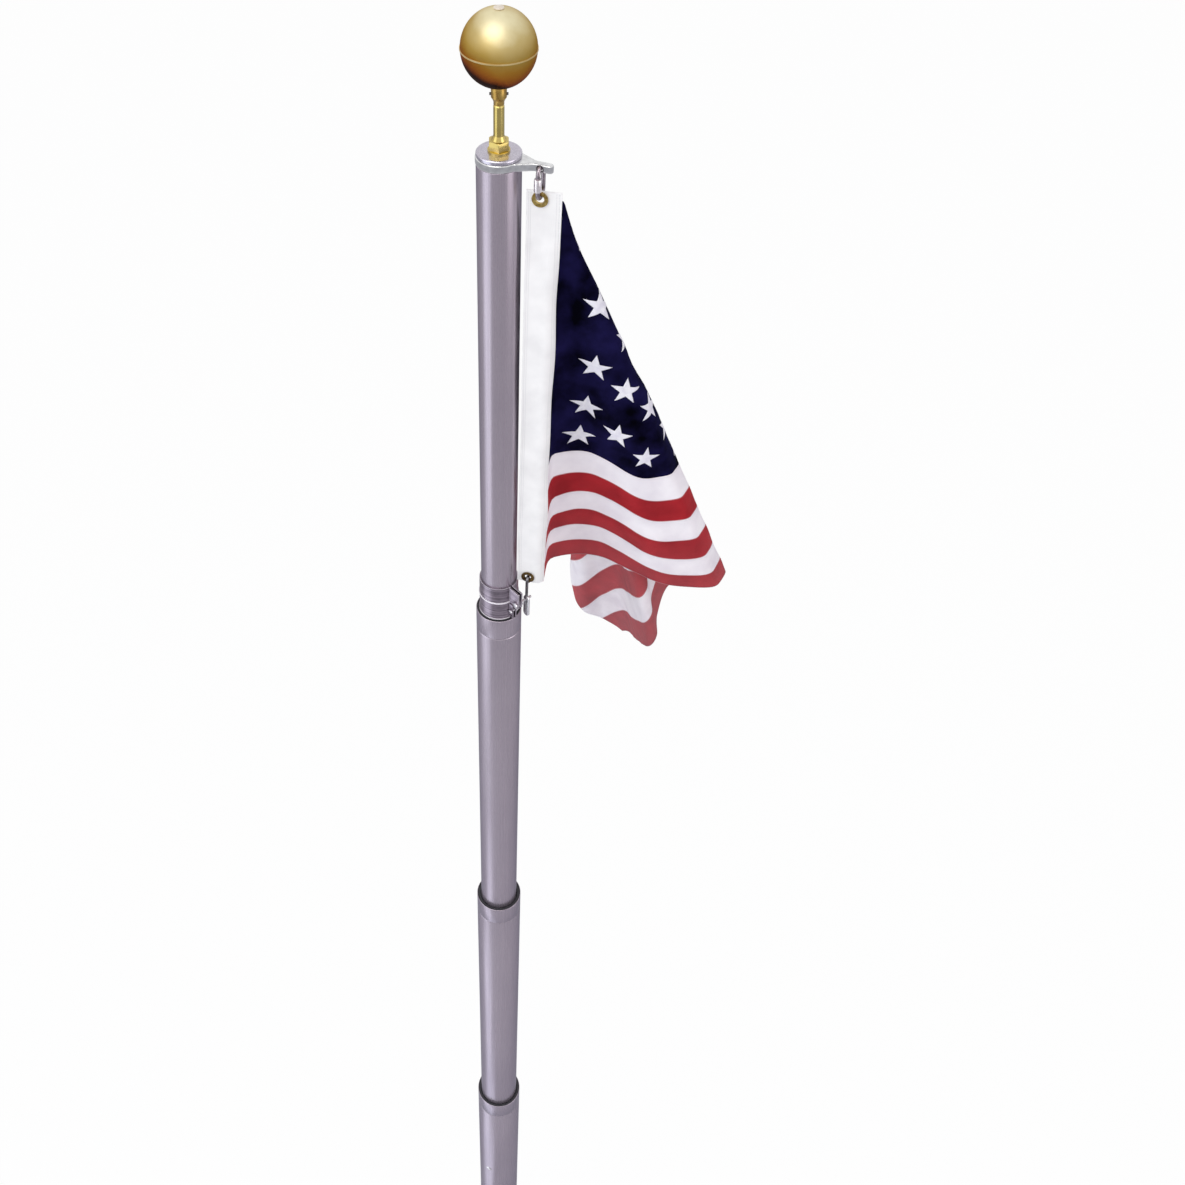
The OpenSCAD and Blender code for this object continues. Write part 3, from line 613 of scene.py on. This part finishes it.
softened("link_sleeve", "upper_swivel", sleeve_zinc, 0.0006)
softened("finial_nut", "top_section", stem_brass, 0.0005)
softened("ball_ferrule", "top_section", ferrule_gold, 0.0004)
softened("ball_button", "top_section", button_white, 0.0007, 3)
for screw_name, body in (("base_screw", "base_section"), ("collar_bolt", "second_section"),
                         ("band_bolt", "lower_swivel"), ("band_nut", "lower_swivel")):
    softened(screw_name, body, screw_steel, 0.0003)
# The tab's rounded edges take the worn finish with its painted highlight.
softened("clip_tab", "lower_swivel", tab_zinc, 0.0005, 2, bright_edge)

# %% Wear the lips of the collar and the band bright, with a painted highlight
LIP_H, LIP_FROM_BORE = 0.0025, 0.0026


def wear_and_highlight_lip(piece):
    """The worn finish with its painted highlight on every face of the lip round a ring's foot."""
    low = min(v.co.z for v in piece.data.vertices)
    bore = min(math.hypot(v.co.x, v.co.y) for v in piece.data.vertices)
    for face in piece.data.polygons:
        far_out = math.hypot(face.center.x, face.center.y) > bore + LIP_FROM_BORE
        if face.center.z < low + LIP_H and far_out:
            face.material_index = 1


for ring_name, body in (("stop_collar", "second_section"), ("swivel_band", "lower_swivel")):
    wear_and_highlight_lip(softened(ring_name, body, band_metal, 0.0007, 2, bright_edge))

# %% [markdown]
# The cast arm
#
# The arm and its ring were poured in one piece and then tumbled, so no edge is left, and the flats
# run into each other. A bevel can't do that round a small hole. A voxel remesh lays an even skin
# of quads over the copy, and a smoothing modifier relaxes that skin until every edge is round.

# %% Tumble a copy of the arm
arm = merged_copy("truck_arm", arm_casting)
shape_by(arm, "skin", "REMESH", mode="VOXEL", voxel_size=0.0006)
shape_by(arm, "tumbling", "SMOOTH", factor=0.5, iterations=26)
bpy.ops.object.shade_smooth()
settle(arm, "truck_arm", "upper_swivel")

# %% [markdown]
# The flag's frame of reference
#
# The flag hangs in its own tilted plane: the header hangs down from the upper grommet, turned a
# little towards the front, and the cloth is sewn along its outer edge. All the sewing below is
# given in flat sizes, as the flag would be cut on a table, and one function per part says where a
# flat point ends up in space. The cloth's pull has curled the header's outer edge towards the
# back: past a line just beyond the grommets the canvas bends round a wide arc, which opens out
# towards the top, where the link holds it flat.

# %% Where header points lie
FLAG_H, FLAG_W = 0.612, 0.914
HEADER_W, HEADER_T = 0.040, 0.0016
HEADER_SIDE = 0.0045            # how far the middle line is from the grommets
CURL, CURL_FROM = 77, 0.0095    # bend per metre, and where it starts
CURL_GROWN = 0.14               # how far down it has grown to the full bend
INSET = 0.010
HEADER_TURN, HEADER_LEAN = math.radians(14), math.radians(0.4)
FIELD_W = FLAG_W - HEADER_W
grommet_low, grommet_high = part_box("upper_grommet")
hang_point = np.array((grommet_low + grommet_high) / 2)
header_axes = np.array(Matrix.Rotation(-HEADER_TURN, 3, "Z")
                       @ Matrix.Rotation(HEADER_LEAN, 3, "Y"))


def ease(value, low, high):
    """0 below low, 1 above high, and smooth between."""
    t = np.clip((value - low) / (high - low), 0, 1)
    return t * t * (3 - 2 * t)


def on_header(across, out, down):
    """A header point: across from its middle, out of its face, and down from its upper grommet."""
    from_grommet, down = np.asarray(across, float) + HEADER_SIDE, np.asarray(down, float)
    bend = CURL * ease(down, -INSET, CURL_GROWN) + 1e-6
    turn = bend * np.maximum(from_grommet - CURL_FROM, 0)
    side = np.minimum(from_grommet, CURL_FROM) + np.sin(turn) / bend - out * np.sin(turn)
    back = (1 - np.cos(turn)) / bend + out * np.cos(turn)
    return hang_point + np.stack(np.broadcast_arrays(side, back, -down), -1) @ header_axes.T


def header_wave(across, down):
    """The canvas is never quite flat: one slow wave and one quicker wave run along it."""
    return 0.0009 * np.sin(down * 21 + 0.6) + 0.0007 * np.sin(down * 47 + across * 60)


print("header hangs from", [round(float(x), 4) for x in hang_point])

# %% [markdown]
# Canvas header
#
# The header is a strip of heavy white canvas folded double over the cloth's edge, with brass
# grommets at its ends. It is a fine grid of quads in the header's plane, lightly waved, with the
# faces under each grommet's hole taken out, and a thickness put on at the end.

# %% Weave the header strip
def lay_flat(mesh, flat):
    """Gives a mesh a UV map from each vertex's place on the flat cloth, in metres."""
    layer = mesh.uv_layers.new(name="flat_cloth")
    loops = np.zeros(len(mesh.loops), np.int32)
    mesh.loops.foreach_get("vertex_index", loops)
    layer.data.foreach_set("uv", flat[loops].astype(np.float32).ravel())


def grid_mesh(name, points, uv):
    """A sheet of quads from a rows x columns array of points, with flat sizes as its UV map."""
    rows, columns = points.shape[:2]
    index = np.arange(rows * columns).reshape(rows, columns)
    quads = np.stack([index[:-1, :-1], index[1:, :-1], index[1:, 1:], index[:-1, 1:]], -1)
    made = bpy.data.meshes.new(name)
    made.from_pydata(points.reshape(-1, 3).tolist(), [], quads.reshape(-1, 4).tolist())
    lay_flat(made, uv.reshape(-1, 2))
    return put_in_scene(name, made)


across = np.linspace(-HEADER_W / 2, HEADER_W / 2, 21)
down = np.linspace(-INSET, FLAG_H - INSET, 307)
across_grid, down_grid = np.meshgrid(across, down)
waved = header_wave(across_grid, down_grid)
header = grid_mesh("canvas_header", on_header(across_grid, waved, down_grid),
                   np.stack([across_grid, down_grid], -1))
print("header grid", across_grid.shape)

# %% Open the grommet holes and give the canvas its thickness
HOLE = 0.0053
SLACK = 0.0002                  # left free between the canvas and each grommet
SPAN = FLAG_H - 2 * INSET
flat_points = np.stack([across_grid.ravel(), down_grid.ravel()], -1)
off_line = flat_points[:, 0] + HEADER_SIDE
in_hole = np.minimum(np.hypot(off_line, flat_points[:, 1]),
                     np.hypot(off_line, flat_points[:, 1] - SPAN)) < HOLE
pick(header)
header.data.polygons.foreach_set("select", [False] * len(header.data.polygons))
header.data.edges.foreach_set("select", [False] * len(header.data.edges))
header.data.vertices.foreach_set("select", in_hole.tolist())
bpy.ops.object.mode_set(mode="EDIT")
bpy.ops.mesh.select_mode(type="VERT")
bpy.ops.mesh.delete(type="VERT")
bpy.ops.object.mode_set(mode="OBJECT")
shape_by(header, "thickness", "SOLIDIFY", thickness=HEADER_T - SLACK, offset=0)
bpy.ops.object.shade_smooth_by_angle(angle=math.radians(50))
print("header faces", len(header.data.polygons))

# %% [markdown]
# The canvas finish
#
# Cotton canvas is a coarse plain weave: warm white, dull, with a little fuzz that lights up at a
# grazing angle. The weave follows the strip's own flat sizes, so it reads the UV map in metres.
# Two waves at the thread pitch cross each other, and soft noise stains the white a little.

# %% Make the canvas
def flat_uv(made):
    """Across and along the flat cloth, in metres."""
    split = node(made, "SeparateXYZ", {0: node(made, "UVMap", uv_map="flat_cloth").outputs[0]})
    return split.outputs[0], split.outputs[1]


def weave(made, pitch):
    """A plain weave: the threads of each direction pass over and under the other."""
    across_uv, along_uv = flat_uv(made)
    warp = sums(made, "SINE", sums(made, "MULTIPLY", across_uv, 2 * math.pi / pitch))
    weft = sums(made, "SINE", sums(made, "MULTIPLY", along_uv, 2 * math.pi / pitch))
    return sums(made, "MULTIPLY_ADD", sums(made, "MULTIPLY", warp, weft), 0.5, 0.5)


canvas = finish("header_canvas", (0.84, 0.83, 0.83), 0.85, Sheen_Weight=0.25, Sheen_Roughness=0.5)
canvas_at = position(canvas)
canvas_stain = patchy(canvas, canvas_at, 34, 5)
wire(canvas, "Base Color",
     between(canvas, canvas_stain, 0.3, 0.72, (0.86, 0.845, 0.84), (0.97, 0.955, 0.945)))
canvas_weave = weave(canvas, 0.0011)
canvas_crease = patchy(canvas, canvas_at, 90, 4, (1, 1, 0.5))
bumped(canvas, sums(canvas, "MULTIPLY_ADD", canvas_weave, 0.25, canvas_crease), 0.0007, 0.8)
header.data.materials.append(canvas)
print("canvas on", header.name)

# %% [markdown]
# Stitches
#
# Two rows of lock stitch hold each folded edge of the header. A stitch is a short fat thread that
# dives into the canvas at both ends, so one small spindle with six sides is enough: a coarse ball,
# drawn out long. It is modelled once and laid along each row, on both faces, where the waved
# canvas is.

# %% Sew the header
deselect()
bpy.ops.mesh.primitive_uv_sphere_add(segments=6, ring_count=4, radius=1)
pattern = bpy.context.object
bpy.ops.object.mode_set(mode="EDIT")
bpy.ops.mesh.select_all(action="SELECT")
bpy.ops.transform.resize(value=(0.00042, 0.00026, 0.00135), center_override=(0, 0, 0))
bpy.ops.object.mode_set(mode="OBJECT")
stitch_verts = np.array([v.co[:] for v in pattern.data.vertices])
stitch_faces = [tuple(p.vertices) for p in pattern.data.polygons]
bpy.data.objects.remove(pattern)


def sew(name, seats, ends, outs, made):
    """Copies of the stitch, each seated at a point, along one direction and out of the cloth."""
    verts, faces = [], []
    for seat, along, out in zip(seats, ends, outs):
        along = along / np.linalg.norm(along)
        side = np.cross(out, along)
        basis = np.stack([side / np.linalg.norm(side), out / np.linalg.norm(out), along])
        first = len(verts)
        verts.extend((seat + stitch_verts @ basis).tolist())
        faces.extend(tuple(i + first for i in face) for face in stitch_faces)
    mesh = bpy.data.meshes.new(name)
    mesh.from_pydata(verts, [], faces)
    mesh.polygons.foreach_set("use_smooth", [True] * len(mesh.polygons))
    mesh.materials.append(made)
    return put_in_scene(name, mesh)


thread = finish("sewing_thread", (0.80, 0.79, 0.78), 0.6, Sheen_Weight=0.3)
twist = patchy(thread, position(thread), 2500, 1)
wire(thread, "Base Color",
     between(thread, twist, 0.35, 0.65, (0.66, 0.65, 0.66), (0.86, 0.85, 0.84)))
STITCH_ROWS = (-0.0172, -0.0148, 0.0140, 0.0172)
STITCH_PITCH, ROW_END = 0.0034, 0.003
seats, ends, outs = [], [], []
face_out = on_header(0, 1, 0) - on_header(0, 0, 0)
for row in STITCH_ROWS:
    for at in np.arange(-INSET + ROW_END, FLAG_H - INSET - ROW_END, STITCH_PITCH):
        for side in (-1, 1):
            lift = header_wave(row, at) + side * (HEADER_T - SLACK) / 2
            seats.append(on_header(row, lift, at))
            ends.append(on_header(row, lift, at + 0.001) - seats[-1])
            outs.append(face_out * side)
header_stitches = sew("header_stitches", seats, ends, outs, thread)
print("stitches", len(seats), "faces", len(header_stitches.data.polygons))

# %% [markdown]
# Folding the flag
#
# A flag that hangs from its hoist with no wind falls from its top corner. Every straight line from
# that corner stays straight, so the cloth is a cone that has been folded like a fan. It could be
# simulated, but then its folds would fall anywhere. Here the fan is drawn on purpose: a path says
# how far each line leans to the side and to the back, a smooth curve runs through it, and the
# angle along the curve is the angle on the flat cloth, so nothing stretches. Close to the corner
# the folds are smoothed out, as stiff sewn cloth can't crease that tightly.

# %% Draw the fan
# How far a line of the fan leans to the side and to the back, in degrees, from hoist to fly.
FOLD_PATH = [
    (-0.6, 1.3), (0.3, 4.8), (2.1, 5.6), (4.8, 5.9), (7.4, 5.7), (9.7, 4.6), (11.8, 3.4),
    (13.6, 2.5), (15.7, 2.0), (18.3, 1.9), (20.8, 2.1), (21.7, 3.4), (22.3, 5.9), (20.9, 7.3),
    (18.4, 8.8), (14.9, 10.1), (12.9, 8.0), (12.5, 6.2), (11.3, 6.0), (10.1, 9.9), (9.1, 14.6),
    (7.0, 16.0), (4.8, 16.4), (3.9, 18.0), (3.8, 20.8), (5.6, 23.6), (9.0, 25.0), (11.8, 26.8),
    (12.2, 29.8), (9.8, 32.0), (8.0, 34.6), (9.4, 38.0), (13.0, 39.6),
]


def smooth_path(knots, steps):
    """A curve through the knots that leaves each one smoothly."""
    padded_knots = np.array([knots[0], *knots, knots[-1]], float)
    curve = []
    for a, b, c, d in zip(padded_knots, padded_knots[1:], padded_knots[2:], padded_knots[3:]):
        for t in np.arange(steps) / steps:
            curve.append((2 * b + (c - a) * t + (2 * a - 5 * b + 4 * c - d) * t ** 2
                          + (3 * b - a - 3 * c + d) * t ** 3) / 2)
    return np.radians(np.array(curve + [knots[-1]]))


leaning = smooth_path(FOLD_PATH, 16)
lines = np.stack([np.tan(leaning[:, 0]), np.tan(leaning[:, 1]), -np.ones(len(leaning))], -1)
lines /= np.linalg.norm(lines, axis=1, keepdims=True)
steps_between = np.arccos(np.clip((lines[1:] * lines[:-1]).sum(1), -1, 1))
flat_angle = np.concatenate([[0], np.cumsum(steps_between)])
print("fan opens over", round(math.degrees(flat_angle[-1]), 1), "degrees of its 90")
flat_angle *= math.pi / 2 / flat_angle[-1]

# %% Smooth the fan near its corner
ANGLE_STEP = 0.25
angle_table = np.radians(np.arange(0, 90.01, ANGLE_STEP))
fan = [np.stack([np.interp(angle_table, flat_angle, lines[:, k]) for k in range(3)], -1)]
for softness in (3.5, 9.0):
    reach = int(softness * 3 / ANGLE_STEP)
    weights = np.exp(-0.5 * (np.arange(-reach, reach + 1) * ANGLE_STEP / softness) ** 2)
    weights /= weights.sum()
    held = np.concatenate([np.repeat(fan[0][:1], reach, 0), fan[0],
                           np.repeat(fan[0][-1:], reach, 0)])
    eased = np.stack([np.convolve(held[:, k], weights, "valid") for k in range(3)], -1)
    fan.append(eased / np.linalg.norm(eased, axis=1, keepdims=True))
SEWN_AT = HEADER_W / 2 - 0.001
corner = on_header(SEWN_AT, 0, -INSET)


def cone_point(across, down):
    """A flat cloth point, placed along its line of the fan."""
    far = np.hypot(across, down)
    angle = np.arctan2(across, np.maximum(down, 1e-9))
    sharp, soft, softest = ([np.interp(angle, angle_table, table[:, k]) for k in range(3)]
                            for table in fan)
    near = ease(far, 0.03, 0.15)
    wide = ease(far, 0.13, 0.36)
    aim = np.stack([(q * (1 - near) + s * near) * (1 - wide) + p * wide
                    for p, s, q in zip(sharp, soft, softest)], -1)
    aim /= np.linalg.norm(aim, axis=-1, keepdims=True)
    return corner + far[..., None] * aim


def cloth_point(across, down):
    """The cone, pulled in to the header along the hoist, where the cloth is sewn to it."""
    across, down = np.asarray(across, float), np.asarray(down, float)
    hoist = on_header(SEWN_AT, header_wave(HEADER_W / 2, down - INSET), down - INSET)
    pull = hoist - cone_point(np.zeros_like(across), down)
    held = 1 - ease(across, 0, 0.11)
    return cone_point(across, down) + held[..., None] * pull


print("corner of the cloth", [round(float(x), 4) for x in corner])

# %% [markdown]
# A design drawn out of square
#
# Washing and the pull of its own weight have drawn this cloth out of square. Near its head the
# threads have spread, near its foot they have closed up, and the same goes from the hoist towards
# the first fold. So each point of the flag's design is first moved to where the worn cloth holds
# it, and only then hung. Three moves add up: the slow drop of the whole front, a sag that follows
# one line of the fan, and a small shift where the header holds the cloth. They die out on the
# folds behind, and keep the cloth's outline.

# %% Draw the design out of square
FIELD_TOP = 0.010
FRONT_W = 0.190
FRONT_ENDS, BEHIND = 31, 46     # degrees along the fan


def drawn(across, down):
    """Where a point of the design lies on the worn cloth."""
    across, down = np.asarray(across, float), np.asarray(down, float)
    slant = np.degrees(np.arctan2(across, np.maximum(down, 1e-6)))
    front = 1 - ease(slant, FRONT_ENDS, BEHIND)
    share = down / FLAG_H
    drop = front * FLAG_H * share * (1 - share) * (0.56 - 0.27 * share)
    sag = 0.017 * (np.exp(-((slant - 20.5) / 6.5) ** 2) * ease(share, 0.33, 0.5)
                   * (1 - 0.65 * ease(share, 0.88, 1.0)))
    at_hoist = (0.006 * ease(share, 0.2, 0.5) + 0.009 * ease(share, 0.58, 0.7)
                - 0.013 * ease(share, 0.75, 1.0))
    lower = down + drop + sag + (1 - ease(across, 0, 0.05)) * at_hoist
    spread = np.where(across < FRONT_W / 2, np.sin(math.pi * np.clip(across, 0, 1) / FRONT_W),
                      1 - 0.26 * ease(across, FRONT_W / 2, FRONT_W))
    return across + front * 0.038 * spread, FIELD_TOP + lower * (1 - FIELD_TOP / FLAG_H)


print("the design's middle moves to", [round(float(v), 3) for v in drawn(0.1, FLAG_H / 2)])

# %% [markdown]
# The cloth itself
#
# The field is cut as a grid whose lines fall on the seams: thirteen stripes down, and the edge of
# the star field across. Each face then belongs to one cloth, red, white or navy, with no jagged
# edge. Small wrinkles ride on the folds: woven nylon keeps the memory of its creases.

# %% Lay out the grid and hang it
STRIPE = FLAG_H / 13
CANTON_H, CANTON_W = 7 * STRIPE, 0.76 * FLAG_H
ROWS_PER_STRIPE = 12
CANTON_COLUMNS, FLY_COLUMNS = 116, 102
down_lines = np.linspace(0, FLAG_H, 13 * ROWS_PER_STRIPE + 1)
across_lines = np.concatenate([np.linspace(0, CANTON_W, CANTON_COLUMNS + 1),
                               np.linspace(CANTON_W, FIELD_W, FLY_COLUMNS + 1)[1:]])


def wrinkle(across, down):
    """Small creases out of the cloth, that fade out at the hoist."""
    out = np.array([noise.noise(Vector((a * 9, d * 15, 1.7))) * 0.0026
                    + noise.noise(Vector((a * 26 + d * 9, d * 34 - a * 12, 5.1))) * 0.0011
                    for a, d in zip(np.ravel(across), np.ravel(down))]).reshape(np.shape(across))
    return out * ease(np.asarray(across), 0.0, 0.06) * ease(np.hypot(across, down), 0.05, 0.3)


def cloth_normal(across, down):
    """Which way the cloth faces, from two short steps on it."""
    step = 0.0015
    along_fly = cloth_point(across + step, down) - cloth_point(across - step, down)
    along_hoist = cloth_point(across, down + step) - cloth_point(across, down - step)
    out = np.cross(along_hoist, along_fly)
    return out / np.maximum(np.linalg.norm(out, axis=-1, keepdims=True), 1e-12)


def hung(across, down, lift=0.0):
    """A flat cloth point where it hangs, wrinkled, and lifted off its middle by lift."""
    safe_across = np.maximum(np.asarray(across, float), 0.0016)
    safe_down = np.maximum(np.asarray(down, float), 0.0016)
    out = (wrinkle(across, down) + lift)[..., None] * cloth_normal(safe_across, safe_down)
    return cloth_point(across, down) + out


across_cloth, down_cloth = np.meshgrid(across_lines, down_lines)
field = grid_mesh("flag_cloth", hung(*drawn(across_cloth, down_cloth)),
                  np.stack([across_cloth, down_cloth], -1))
print("cloth faces", len(field.data.polygons))

# %% [markdown]
# Nylon in three colours
#
# The red, white and navy cloths are the same woven nylon. Its finish has a fine weave, a dull
# gloss, faint painted clouding for light that falls through the folds, and, along each stripe's
# edge, the raised felled seam with its row of stitches. Towards its foot the cloth is painted
# paler, a painted light for the light that comes through the thin nylon there; it is paler too
# towards its fly end, and its seams are pale. All of this is found from the flat sizes and the
# place on the piece.

# %% Make the nylon
SEAM_STITCHES = 2094            # radians per metre: one stitch in 3 mm
PALE_TINT = (0.88, 0.70, 0.74, 1)


def nylon(name, dark, light, gloss=0.1, seams=True):
    """Woven nylon with felled seams between the stripes."""
    made = finish(name, light, 0.68, Specular_IOR_Level=gloss)
    across_uv, along_uv = flat_uv(made)
    # Painted light: soft clouds of lighter and darker colour for light that falls through the
    # folds.
    cloth = between(made, patchy(made, position(made), 26, 6), 0.32, 0.7, dark, light)
    height = sums(made, "MULTIPLY", weave(made, 0.0007), 0.10)
    height = sums(made, "MULTIPLY_ADD", patchy(made, position(made), 70, 3), 0.5, height)
    if seams:
        share = sums(made, "FRACT", sums(made, "MULTIPLY_ADD", along_uv, 1 / STRIPE, 0.5))
        off_seam = sums(made, "ABSOLUTE", sums(made, "SUBTRACT", share, 0.5))
        ridge = ranged(made, off_seam, 0.075, 0.05, 0, 0.55)
        row = ranged(made, sums(made, "ABSOLUTE", sums(made, "SUBTRACT", off_seam, 0.045)),
                     0.006, 0.012, 1, 0)
        wave = sums(made, "SINE", sums(made, "MULTIPLY", across_uv, SEAM_STITCHES))
        stitches = sums(made, "MULTIPLY", row, ranged(made, wave, -0.2, 0.2, 0, 1))
        height = sums(made, "ADD", height, ridge)
        height = sums(made, "MULTIPLY_ADD", stitches, -0.35, height)
        # Painted light: paler towards the foot, where light comes through the cloth; paler too
        # towards the fly end and along the seams.
        pale_share = sums(made, "ADD", ranged(made, along_uv, 0.44, 0.6, 0, 0.05),
                     ranged(made, across_uv, 0.25, 0.5, 0, 0.07))
        pale_share = sums(made, "ADD", pale_share, ranged(made, off_seam, 0.035, 0.02, 0, 0.28))
        cloth = node(made, "Mix", {"Factor": pale_share, 6: cloth, 7: PALE_TINT},
                     data_type="RGBA").outputs[2]
    wire(made, "Base Color", cloth)
    bumped(made, height, 0.0009)
    return made


stripe_red = nylon("stripe_red", (0.29, 0.012, 0.018), (0.45, 0.020, 0.028))
stripe_white = nylon("stripe_white", (0.82, 0.77, 0.82), (0.95, 0.91, 0.94))
canton_navy = nylon("canton_navy", (0.0008, 0.0006, 0.003), (0.011, 0.009, 0.055), 0.01, False)
for made in (stripe_red, stripe_white, canton_navy):
    field.data.materials.append(made)
cells = np.arange((len(down_lines) - 1) * (len(across_lines) - 1))
cell_row, cell_column = np.divmod(cells, len(across_lines) - 1)
stripe_of = cell_row // ROWS_PER_STRIPE
colour_of = np.where(stripe_of % 2 == 0, 0, 1)
colour_of[(stripe_of < 7) & (cell_column < CANTON_COLUMNS)] = 2
field.data.polygons.foreach_set("material_index", colour_of.astype(np.int32))
pick(field)
shape_by(field, "thickness", "SOLIDIFY", thickness=0.0005, offset=0)
bpy.ops.object.shade_smooth()
print("cloth faces with both sides", len(field.data.polygons))

# %% [markdown]
# Stars
#
# Fifty white stars are sewn to each side of the navy field, in nine rows that take turns with six
# and five, and a few are a few millimetres off their places. A star is a flat ten-cornered shape,
# cut into small triangles so that it can bend with the cloth, and every corner is placed by the
# same function that hangs the cloth. The star on the front and the one behind it are two faces of
# one thin patch that goes through the cloth, so that no mesh is left open at its rim.

# %% Cut one star flat
def flat_star(radius, cuts):
    """Small triangles that fill a five-pointed star round the origin."""
    inner = radius * math.sin(math.radians(18)) / math.sin(math.radians(54))
    rim = [((radius if k % 2 == 0 else inner) * math.sin(k * math.pi / 5),
            -(radius if k % 2 == 0 else inner) * math.cos(k * math.pi / 5)) for k in range(10)]
    points, triangles, outline = [], [], []
    for k in range(10):
        a, b = np.array(rim[k]), np.array(rim[(k + 1) % 10])
        first = len(points)
        for i in range(cuts + 1):
            for j in range(i + 1):
                points.append((a * (i - j) + b * j) / cuts)
        at = lambda i, j: first + i * (i + 1) // 2 + j
        for i in range(cuts):
            for j in range(i + 1):
                triangles.append((at(i, j), at(i + 1, j), at(i + 1, j + 1)))
                if j < i:
                    triangles.append((at(i, j), at(i + 1, j + 1), at(i, j + 1)))
        outline.extend((at(cuts, j), at(cuts, j + 1)) for j in range(cuts))
    return np.array(points), triangles, outline


STAR_R = 0.0616 * FLAG_H / 2 * 1.04
star_points, star_triangles, star_outline = flat_star(STAR_R, 5)
print("star triangles", len(star_triangles))

# %% Sew the stars to both sides
star_white = finish("star_white", (0.86, 0.84, 0.90), 0.62, Specular_IOR_Level=0.2)
star_mottle = patchy(star_white, position(star_white), 120, 4)
wire(star_white, "Base Color",
     between(star_white, star_mottle, 0.3, 0.7, (0.80, 0.77, 0.86), (0.95, 0.93, 0.97)))
bumped(star_white, weave(star_white, 0.0008), 0.0002)
STAR_LIFT = 0.00062
# Column and row of the stars that are off their places, and by how much across and down.
NUDGED = {(1, 3): (0.003, -0.004), (1, 5): (0.005, 0.008), (1, 7): (0.003, 0.009),
          (3, 7): (0, -0.008), (3, 9): (0.004, -0.005), (4, 8): (0.006, -0.004)}
star_mesh_points, star_uv, star_faces, star_walls = [], [], [], []
for row in range(9):
    for column in range(11):
        if (row + column) % 2:
            continue
        centre = np.array([(column + 1) * CANTON_W / 12, (row + 1) * CANTON_H / 10])
        centre += NUDGED.get((column + 1, row + 1), (0, 0))
        stretched = np.stack(drawn(*(centre + star_points).T), -1)
        flat = (stretched + star_points + np.array(drawn(*centre))) / 2
        for side in (1, -1):
            first = len(star_uv)
            star_mesh_points.append(hung(flat[:, 0], flat[:, 1], side * STAR_LIFT))
            star_uv.extend(flat.tolist())
            star_faces.extend(tuple(first + i for i in face[::-side]) for face in star_triangles)
        front = first - len(star_points)
        star_walls.extend((front + a, front + b, first + b, first + a) for a, b in star_outline)
star_mesh = bpy.data.meshes.new("sewn_stars")
star_mesh.from_pydata(np.concatenate(star_mesh_points).tolist(), [], star_faces + star_walls)
lay_flat(star_mesh, np.array(star_uv))
star_mesh.polygons.foreach_set("use_smooth",
                               [True] * len(star_faces) + [False] * len(star_walls))
star_mesh.materials.append(star_white)
stars = put_in_scene("sewn_stars", star_mesh)
print("stars", len(star_uv) // len(star_points) // 2, "a side, faces", len(star_mesh.polygons))

# %% [markdown]
# Fixing it all to the frame
#
# The header, the cloth, its stars and its stitches turn with the upper swivel. When the top tube
# slides down, the two swivels come together and the real flag crumples between them, which a rigid
# body can't do; here these pieces only ride along, each with a mesh of its own.

# %% Let the flag ride
for piece, slot_name in ((header, "header_canvas"), (header_stitches, "header_canvas"),
                         (field, "flag_cloth"), (stars, "flag_cloth")):
    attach(piece, "upper_swivel")
    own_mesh(piece)
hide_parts("flag_header")
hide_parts("flag_field")
print("flag pieces ride on the upper swivel")

# %% [markdown]
# Keeping the side lamps off the ball
#
# The lamps that draw the streak on the tubes would also leave a hot spot low on the ball and a
# white glare on the arm's ring. Light linking keeps them off those pieces.

# %% Shade the ball and the arm from the side lamps
shaded = bpy.data.collections.new("shaded_from_side_lamps")
for piece in [arm, *(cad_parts[name] for name in ("ball_lower", "ball_upper", "ball_seam"))]:
    shaded.objects.link(piece)
for held_off in shaded.collection_objects:
    held_off.light_linking.link_state = "EXCLUDE"
for lamp in (*streak_lamps, fill_lamp):
    lamp.light_linking.receiver_collection = shaded
